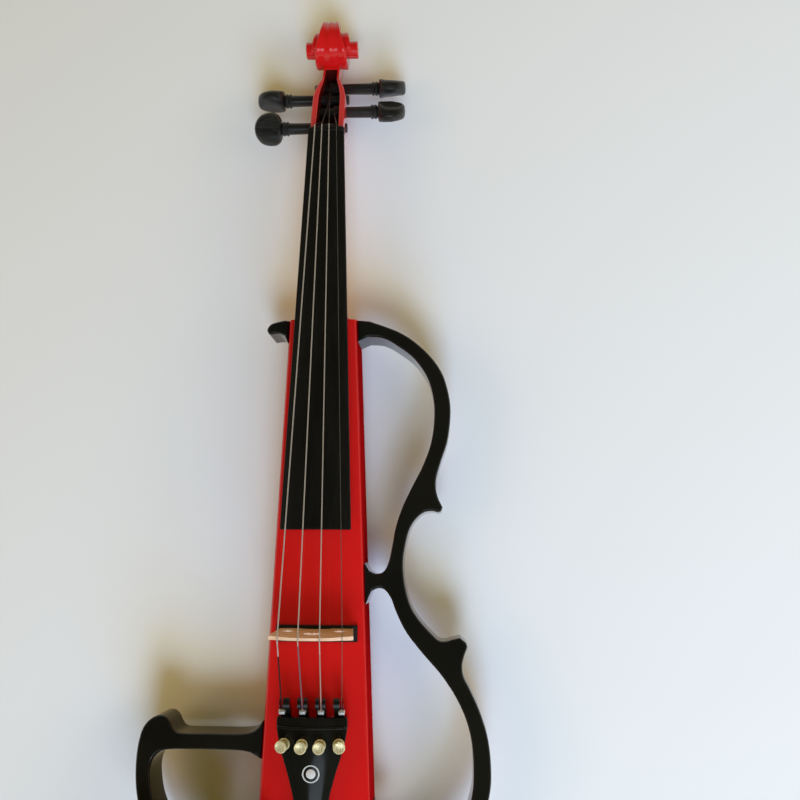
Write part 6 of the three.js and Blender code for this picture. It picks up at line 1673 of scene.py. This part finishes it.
@dataclass
class Tailpiece:
    """The tailpiece with its ridge, ornament and fine tuners, drawn from the middle of its head edge."""

    plan: Plan
    head_back: float = 45.3
    rise: float = 16.5
    tilt: float = 4.5
    half_width: float = 20.8
    crown: float = 3.2
    head_depth: float = 11.0
    end_depth: float = 5.6
    shell: float = 2.6
    wall: float = 1.5
    draft: float = 0.3
    pocket_length: float = 22.0
    block_length: float = 24.0
    end_clearance: float = 2.0
    saddle_length: float = 8.0
    edge_round: float = 0.7
    ridge_back: float = 6.0
    ridge_width: float = 1.8
    ridge_height: float = 1.1
    ornament_share: float = 0.0925
    ring_radius: float = 5.1
    ring_width: float = 0.9
    dot_radius: float = 2.8
    inlay_depth: float = 0.8
    tuner_spacing: float = 10.5
    screw_back: float = 15.2
    screw_fan: float = 9.0
    screw_body: float = 3.1
    screw_head: float = 3.5
    screw_head_height: float = 1.3
    screw_stand: float = 7.4
    screw_lift: float = 2.2
    screw_stem: float = 1.4
    screw_teeth: int = 36
    screw_tooth_depth: float = 0.22
    bush_radius: float = 3.4
    bush_height: float = 1.1
    block_shares: Rows = ((0, 0.985), (0.217, 1.0), (0.433, 0.965), (0.715, 0.900), (1, 0.800))
    rest_shares: Rows = (
        (0.096, 0.680), (0.194, 0.575), (0.265, 0.505), (0.415, 0.440), (0.610, 0.400), (0.8175, 0.400),
        (0.960, 0.375), (1, 0.300),
    )

    @property
    def length(self) -> float:
        """Length from the head edge to the gut end."""
        run = -self.plan.tail - self.saddle_length - self.end_clearance - self.head_back
        return run / math.cos(math.radians(self.tilt))

    @property
    def place(self) -> Matrix:
        """The tilted frame that the tailpiece is drawn in."""
        at = Matrix.Translation((0, -self.head_back, self.plan.depth + self.rise))
        return at @ Matrix.Rotation(math.radians(self.tilt), 4, "X")

    def outline(self) -> Outline:
        """Rows of distance from the head and share of the widest half width."""
        rest = self.length - self.block_length
        rows = [(along * self.block_length, across) for along, across in self.block_shares]
        return rows + [(self.block_length + along * rest, across) for along, across in self.rest_shares]

    def half(self, back: float) -> float:
        """Half width at a distance from the head."""
        return read_smooth(self.outline(), back)[0] * self.half_width

    def top(self, x: float, back: float) -> float:
        """Height of the crowned top."""
        half = self.half(back)
        return -self.crown * half / self.half_width * (x / half) ** 2

    def depth(self, back: float) -> float:
        """Depth of the sides."""
        return lerp(self.head_depth, self.end_depth, smoothstep(back, self.pocket_length, self.length))

    def ring(self, back: float, pulled: float) -> list[Vector]:
        """Section of the tailpiece with rounded edges.

        Args:
            back: distance from the head edge.
            pulled: how far the section is drawn in.

        Returns:
            The section's ring.
        """
        half, deep, r = self.half(back) - pulled, self.depth(back) - pulled, self.edge_round
        edge = self.top(half - r, back) - pulled
        shoulder = arc((half - r, edge - r), r, 0, 78, 4)
        foot = arc((half - self.draft - r, -deep + r), r, 270, 360, 4)
        xs = [lerp(half - r * 0.8, -half + r * 0.8, k / 32) for k in range(1, 32)]
        crown = [(x, self.top(x, back) - pulled) for x in xs]
        points = [*shoulder, *crown, *mirrored(shoulder), *mirrored(foot), *foot]
        return [Vector((x, -back, z)) for x, z in points]

    def block(self) -> Skin:
        """The tailpiece before its hollow is cut."""
        length, middle, steps, end = self.length, self.block_length + 14, 22, 0.7
        stations = [end, 2.0, 3.5, 5.0, *[lerp(5, middle, k / steps) for k in range(1, steps + 1)]]
        stations += [lerp(middle, length - end, k / steps) for k in range(1, steps + 1)]
        rings = [self.ring(0.0, 0.6), self.ring(0.18, 0.2), *[self.ring(back, 0.0) for back in stations]]
        return Skin().loft([*rings, self.ring(length - 0.2, 0.2), self.ring(length, 0.6)])

    def pocket(self) -> Skin:
        """The hollow under the head that the levers sit in."""
        rings = []
        for back in (-2.0, 0.0, 4.0, 8.0, 14.0, self.pocket_length):
            near = max(back, 0.0)
            half = self.half(near) - self.wall
            points = [(x, self.top(x, near) - self.shell) for x in np.linspace(half, -half, 17)]
            points += [(-half, -self.head_depth - 2), (half, -self.head_depth - 2)]
            rings.append([Vector((x, -back, z)) for x, z in points])
        return Skin().loft(rings)

    def ridge(self) -> Skin:
        """The raised line across the head."""
        steps, taper, least_share, rings = 64, 0.6, 0.2, []
        half = self.half(self.ridge_back) - self.plan.seat_gap
        for i in range(steps + 1):
            x = lerp(-half, half, i / steps)
            high = self.ridge_height * max(least_share, min(1.0, (half - abs(x)) / taper))
            seat, wide = self.top(x, self.ridge_back), self.ridge_width / 2
            section = arc((0.0, 0.0), 1.0, 0, 180, 10)
            rings.append([Vector((x, -self.ridge_back + a * wide, seat + b * high)) for a, b in section])
        return Skin().loft(rings)

    def ornament(self, shop: Workshop) -> None:
        """Makes the inlaid ring, its dot and the ground between them.

        Args:
            shop: makes the pieces.
        """
        back = self.block_length + self.ornament_share * (self.length - self.block_length)
        at = self.place @ Matrix.Translation((0, -back, 0))
        outer, inner, low = self.ring_radius, self.ring_radius - self.ring_width, -self.inlay_depth
        walls = [(inner, low), (outer, low), (outer, -0.12)]
        rim = [*walls, (outer - 0.15, 0.03), (inner + 0.15, 0.03), (inner, -0.12)]
        shop.piece("ornament_ring", hoop(rim, 96).moved(at), Look.RING, replaces=["eye_ring"])
        r = self.dot_radius
        dot = [(0.0, low), (r, low), (r, -0.1), (r - 0.2, 0.06), (0.0, 0.14)]
        shop.piece("ornament_dot", lathe(dot, 64, Z_AXIS).moved(at), Look.PEARL, replaces=["eye_dot"])
        ground = [(0.0, low), (inner - 0.05, low), (inner - 0.05, -0.3), (0.0, -0.3)]
        shop.piece("ornament_ground", lathe(ground, 64, Z_AXIS).moved(at), Look.BLACK)

    def screw_matrix(self, name: StringName) -> Matrix:
        """The tilted place of a tuner's screw.

        Args:
            name: the string.

        Returns:
            The matrix in the tailpiece's frame.
        """
        fan = {StringName.G: -1, StringName.E: 1}.get(name, 0) * self.screw_fan
        x = self.tuner_spacing * (name.value - 1.5)
        at = Matrix.Translation((x, -self.screw_back, self.top(x, self.screw_back)))
        return at @ Matrix.Rotation(math.radians(fan), 4, "Y")

    def bush(self) -> Skin:
        """The brass ring that a tuner's screw goes through."""
        inner, outer, high = self.screw_stem + 0.3, self.bush_radius, self.bush_height
        wall = [(inner, -0.7), (outer, -0.7), (outer, high - 0.3), (outer - 0.3, high)]
        return hoop([*wall, (inner + 0.2, high), (inner, high - 0.2)], 64)

    def screw(self, tip: float) -> Skin:
        """A tuner's screw with its knurled body and dished head.

        Args:
            tip: height of its tip.

        Returns:
            The screw's skin.
        """
        stem, body, head = self.screw_stem, self.screw_body, self.screw_head
        lift, stand = self.screw_lift, self.screw_stand
        neck, waist = stand - self.screw_head_height, body - 0.35
        rows = [
            (0.0, tip), (stem * 0.55, tip), (stem, tip + 0.7), (stem, lift), (body - 0.3, lift),
            (body, lift + 0.3, 1), (body, neck - 0.7, 1), (waist, neck - 0.45), (waist, neck - 0.15),
            (head - 0.25, neck), (head, neck + 0.25), (head, stand - 0.4), (head - 0.18, stand - 0.15),
            (head - 0.5, stand), (head - 0.8, stand - 0.04), (head - 1.0, stand - 0.12), (0.0, stand - 0.15),
        ]
        return lathe(rows, 144, Z_AXIS, self.screw_teeth, self.screw_tooth_depth)

    def build(self, shop: Workshop) -> None:
        """Makes the tailpiece's pieces.

        Args:
            shop: makes the pieces.
        """
        place = self.place
        block = shop.piece("tailpiece_shell", self.block().moved(place), Look.BLACK, replaces=["tailpiece"])
        carve(block, self.pocket().moved(place))
        block.data.set_sharp_from_angle(angle=math.radians(40))
        ridge = self.ridge().moved(place)
        shop.piece("tailpiece_ridge", ridge, Look.BLACK, replaces=["tailpiece_fret"], crease=60)
        self.ornament(shop)
        shop.dress("lever_axle", Look.STEEL)
        for name in StringName:
            key = name.key
            shop.dress(f"tuner_lever_{key}", Look.BLACK, crease=30, bevel=0.22)
            low_corner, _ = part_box(f"tuner_screw_{key}")
            reach = place @ self.screw_matrix(name)
            tip = (reach.inverted() @ Vector((reach.translation.x, reach.translation.y, low_corner.z / MM))).z
            shop.piece(f"tuner_bush_{key}", self.bush().moved(reach), Look.BRASS)
            screw, solid = self.screw(tip).moved(reach), f"tuner_screw_{key}"
            shop.piece(f"knurled_screw_{key}", screw, Look.BRASS, f"{key}_screw", [solid], crease=30)


@dataclass
class Core:
    """The red slab that carries everything."""

    side_lean: float = 0.8

    def build(self, shop: Workshop) -> None:
        """Dresses the core, with painted shade on its steep sides.

        Args:
            shop: dresses the solids.
        """
        core = shop.dress("body_core", Look.RED, crease=40, even=True)
        # Steep side faces get the darker red copy: painted shade.
        shop.paint(core, Look.RED_SIDE, lambda face: abs(face.normal.x) > self.side_lean)


@dataclass
class Fittings:
    """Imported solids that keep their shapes, in rows of name, finish, crease angle and rounding."""

    rows: tuple[tuple, ...]

    def build(self, shop: Workshop) -> None:
        """Dresses the solids.

        Args:
            shop: dresses the solids.
        """
        for row in self.rows:
            shop.dress(*row)


@dataclass
class TailAnchor(Fittings):
    """The saddle, the end button and the gut between them and the tailpiece."""

    rows: tuple[tuple, ...] = (
        ("saddle", Look.EBONY_ACROSS, 35, 0.3),
        ("end_button", Look.EBONY),
        ("tail_gut", Look.NYLON, 70),
    )


@dataclass
class Electronics(Fittings):
    """The controls, the jacks, the board and the battery bay."""

    rows: tuple[tuple, ...] = (
        ("control_plate", Look.PLASTIC, 35, 0.3),
        ("volume_knob", Look.PLASTIC, 30),
        ("tone_knob", Look.PLASTIC, 30),
        ("power_switch", Look.STEEL, 35, 0.2),
        ("preamp_board", Look.BOARD_GREEN),
        ("output_jack", Look.STEEL, 30),
        ("headphone_jack", Look.STEEL, 30),
        ("battery", Look.BATTERY, 35, 0.3),
        ("battery_door", Look.PLASTIC, 35, 0.3),
    )


@dataclass
class ChinRest(Fittings):
    """The chin rest's cup and its clamp."""

    rows: tuple[tuple, ...] = (
        ("chin_rest_cup", Look.EBONY, 40),
        ("chin_rest_upper_bracket", Look.STEEL, 35, 0.2),
        ("chin_rest_lower_bracket", Look.STEEL, 35, 0.2),
        ("chin_rest_upper_pad", Look.CORK, 35, 0.2),
        ("chin_rest_lower_pad", Look.CORK, 35, 0.2),
        ("chin_rest_barrel_left", Look.STEEL, 30),
        ("chin_rest_barrel_right", Look.STEEL, 30),
    )


@dataclass(frozen=True)
class Lamp:
    """An area lamp: its lean is how far it stands to the side for each metre of height."""

    name: str
    lean: tuple[float, float]
    distance: float
    size: tuple[float, float]
    power: float
    colour: Colour
    shows_in_gloss: bool = False


class Light(Enum):
    """The lamps of the room."""

    DAYLIGHT = Lamp("daylight", (0.15, -0.80), 3.2, (1.28, 1.28), 44.0, (0.69, 0.85, 1.0))
    LOW_SKY = Lamp("low sky", (0.35, -1.70), 3.6, (1.6, 1.6), 84.0, (0.31, 0.54, 1.0))
    RIGHT_WALL = Lamp("right wall", (1.9, 0.2), 1.7, (0.9, 0.9), 3.2, (0.95, 0.93, 1.0))
    RIGHT_SIDE = Lamp("right side", (1.20, -0.30), 1.4, (0.8, 0.8), 3.2, (1.0, 0.88, 0.82))
    LEFT_WALL = Lamp("left wall", (-1.0, -0.2), 1.6, (0.9, 0.9), 3.6, (1.0, 0.66, 0.55))
    WINDOW = Lamp("window", (0.0, -0.68), 1.6, (0.72, 0.46), 1.5, (0.72, 0.86, 1.0), True)
    GLINT = Lamp("window glint", (0.40, -0.90), 1.8, (0.16, 0.16), 0.8, (0.95, 0.98, 1.0), True)


@dataclass
class Studio:
    """The pale floor, the light and the camera, in metres."""

    floor_half: float = 12.0
    floor_drop: float = 0.0004
    # Painted light: the floor's colour fades from a dimmer left to a brighter, cooler right.
    floor_left: Colour = (0.765, 0.765, 0.755)
    floor_right: Colour = (0.845, 0.865, 0.90)
    floor_tint_reach: float = 0.4
    pale_from: float = 0.62
    pale_to: float = 1.25
    horizon_rise: float = 0.05
    zenith_rise: float = 0.75
    horizon_seen: Colour = (0.66, 0.63, 0.55)
    zenith_seen: Colour = (0.045, 0.042, 0.03)
    horizon_fill: Colour = (0.374, 0.287, 0.02)
    zenith_fill: Colour = (0.262, 0.20, 0.015)
    target: tuple[float, float, float] = (0.0, 0.12, 0.0)
    camera_place: tuple[float, float, float] = (0.0789, 0.047, 0.6065)
    camera_turn: tuple[float, float, float] = (0.171, 0.051, -0.005)
    lens: float = 40.787

    def floor(self) -> None:
        """Makes the floor, whose colour runs from darker on the left to paler on the right as painted light.
        """
        half, reach = self.floor_half, self.floor_tint_reach
        mesh = bpy.data.meshes.new("floor")
        points = [(x * half, y * half, 0) for x, y in ((-1, -1), (1, -1), (1, 1), (-1, 1))]
        mesh.from_pydata(points, [], [(0, 1, 2, 3)])
        floor = add_object("floor", mesh)
        floor.location.z = -self.floor_drop
        material = bpy.data.materials.new("floor paint")
        material.use_nodes = True
        mesh.materials.append(material)
        bench, nodes = Bench(material.node_tree), material.node_tree.nodes
        shader = nodes["Principled BSDF"]
        place = bench.node("ShaderNodeTexCoord").outputs["Object"]
        # Painted light across the floor: darker on the left, paler on the right.
        across = bench.ramp(bench.node("ShaderNodeSeparateXYZ", {0: place}).outputs[0], -reach, reach)
        tint = bench.tint(across, self.floor_left, self.floor_right)
        bench.fill(shader, {"Base Color": tint, "Roughness": 0.8, "Specular IOR Level": 0.2})
        bench.bump(shader, bench.noise(place, 160.0, 4.0, 0.55), strength=0.05, depth=0.5)
        apart = bench.vector_math("DISTANCE", place, self.target)["Value"]
        far = bench.ramp(apart, self.pale_from, self.pale_to)
        glow = bench.node("ShaderNodeEmission", {"Color": (*self.horizon_seen, 1.0), "Strength": 1.0})
        share = bench.math("MULTIPLY", far, self.seen(bench))
        both = bench.node("ShaderNodeMixShader", {0: share, 1: shader.outputs[0], 2: glow.outputs[0]})
        bench.fill(nodes["Material Output"], {"Surface": both.outputs[0]})
        floor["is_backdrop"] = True

    def seen(self, bench: Bench) -> Socket:
        """Whether a ray is one that shows the background, straight or in gloss or glass.

        Args:
            bench: the nodes of a material or the world.

        Returns:
            The mask.
        """
        rays = bench.node("ShaderNodeLightPath").outputs
        mirrored_ray = bench.math("MAXIMUM", rays["Is Glossy Ray"], rays["Is Transmission Ray"])
        return bench.math("MAXIMUM", rays["Is Camera Ray"], mirrored_ray)

    def lamp(self, lamp: Lamp) -> None:
        """Makes an area lamp.

        Args:
            lamp: its settings.
        """
        data = bpy.data.lights.new(lamp.name, "AREA")
        data.shape = "ELLIPSE"
        data.size, data.size_y = lamp.size
        data.energy = lamp.power
        data.color = lamp.colour
        made = add_object(lamp.name, data)
        target = Vector(self.target)
        made.location = target + Vector((*lamp.lean, 1.0)).normalized() * lamp.distance
        made.rotation_euler = (target - made.location).to_track_quat("-Z", "Y").to_euler()
        made.visible_glossy = lamp.shows_in_gloss

    def world(self) -> None:
        """Makes the warm, dim room around the floor."""
        world = bpy.data.worlds.new("room")
        world.use_nodes = True
        bench = Bench(world.node_tree)
        place = bench.node("ShaderNodeTexCoord").outputs["Generated"]
        up = bench.node("ShaderNodeSeparateXYZ", {0: place}).outputs[2]
        rise = bench.ramp(up, self.horizon_rise, self.zenith_rise)
        fill = bench.tint(rise, self.horizon_fill, self.zenith_fill)
        shown = bench.tint(rise, self.horizon_seen, self.zenith_seen)
        colour = bench.mix(self.seen(bench), fill, shown)
        bench.fill(world.node_tree.nodes["Background"], {"Color": colour, "Strength": 1.0})
        bpy.context.scene.world = world

    def camera(self) -> None:
        """Makes the camera at the photograph's place."""
        data = bpy.data.cameras.new("camera")
        data.lens = self.lens
        data.sensor_width = 36.0
        data.clip_start = 0.01
        data.clip_end = 20.0
        camera = add_object("camera", data)
        camera.location = self.camera_place
        camera.rotation_mode = "ZYX"
        camera.rotation_euler = self.camera_turn
        bpy.context.scene.camera = camera

    def build(self) -> None:
        """Makes the floor, light, world and camera."""
        self.floor()
        for light in Light:
            self.lamp(light.value)
        self.world()
        self.camera()
        bpy.context.scene.view_settings.view_transform = "Standard"


def corners() -> list[list[float]]:
    """The whole object's box as plain lists."""
    return [list(corner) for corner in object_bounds()]


def main() -> None:
    logging.basicConfig(level=logging.INFO, format="%(name)s: %(message)s")
    for leftover in list(bpy.data.objects):
        bpy.data.objects.remove(leftover)
    shop = Workshop(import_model())
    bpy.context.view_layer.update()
    plan, pegs = Plan(), Pegs()
    Studio().build()
    drawn = (Wings(plan), Neck(plan), pegs, Strings(pegs), Bridge(plan), Tailpiece(plan))
    for part in (Core(), *drawn, TailAnchor(), Electronics(), ChinRest()):
        part.build(shop)


if __name__ == "__main__":
    main()
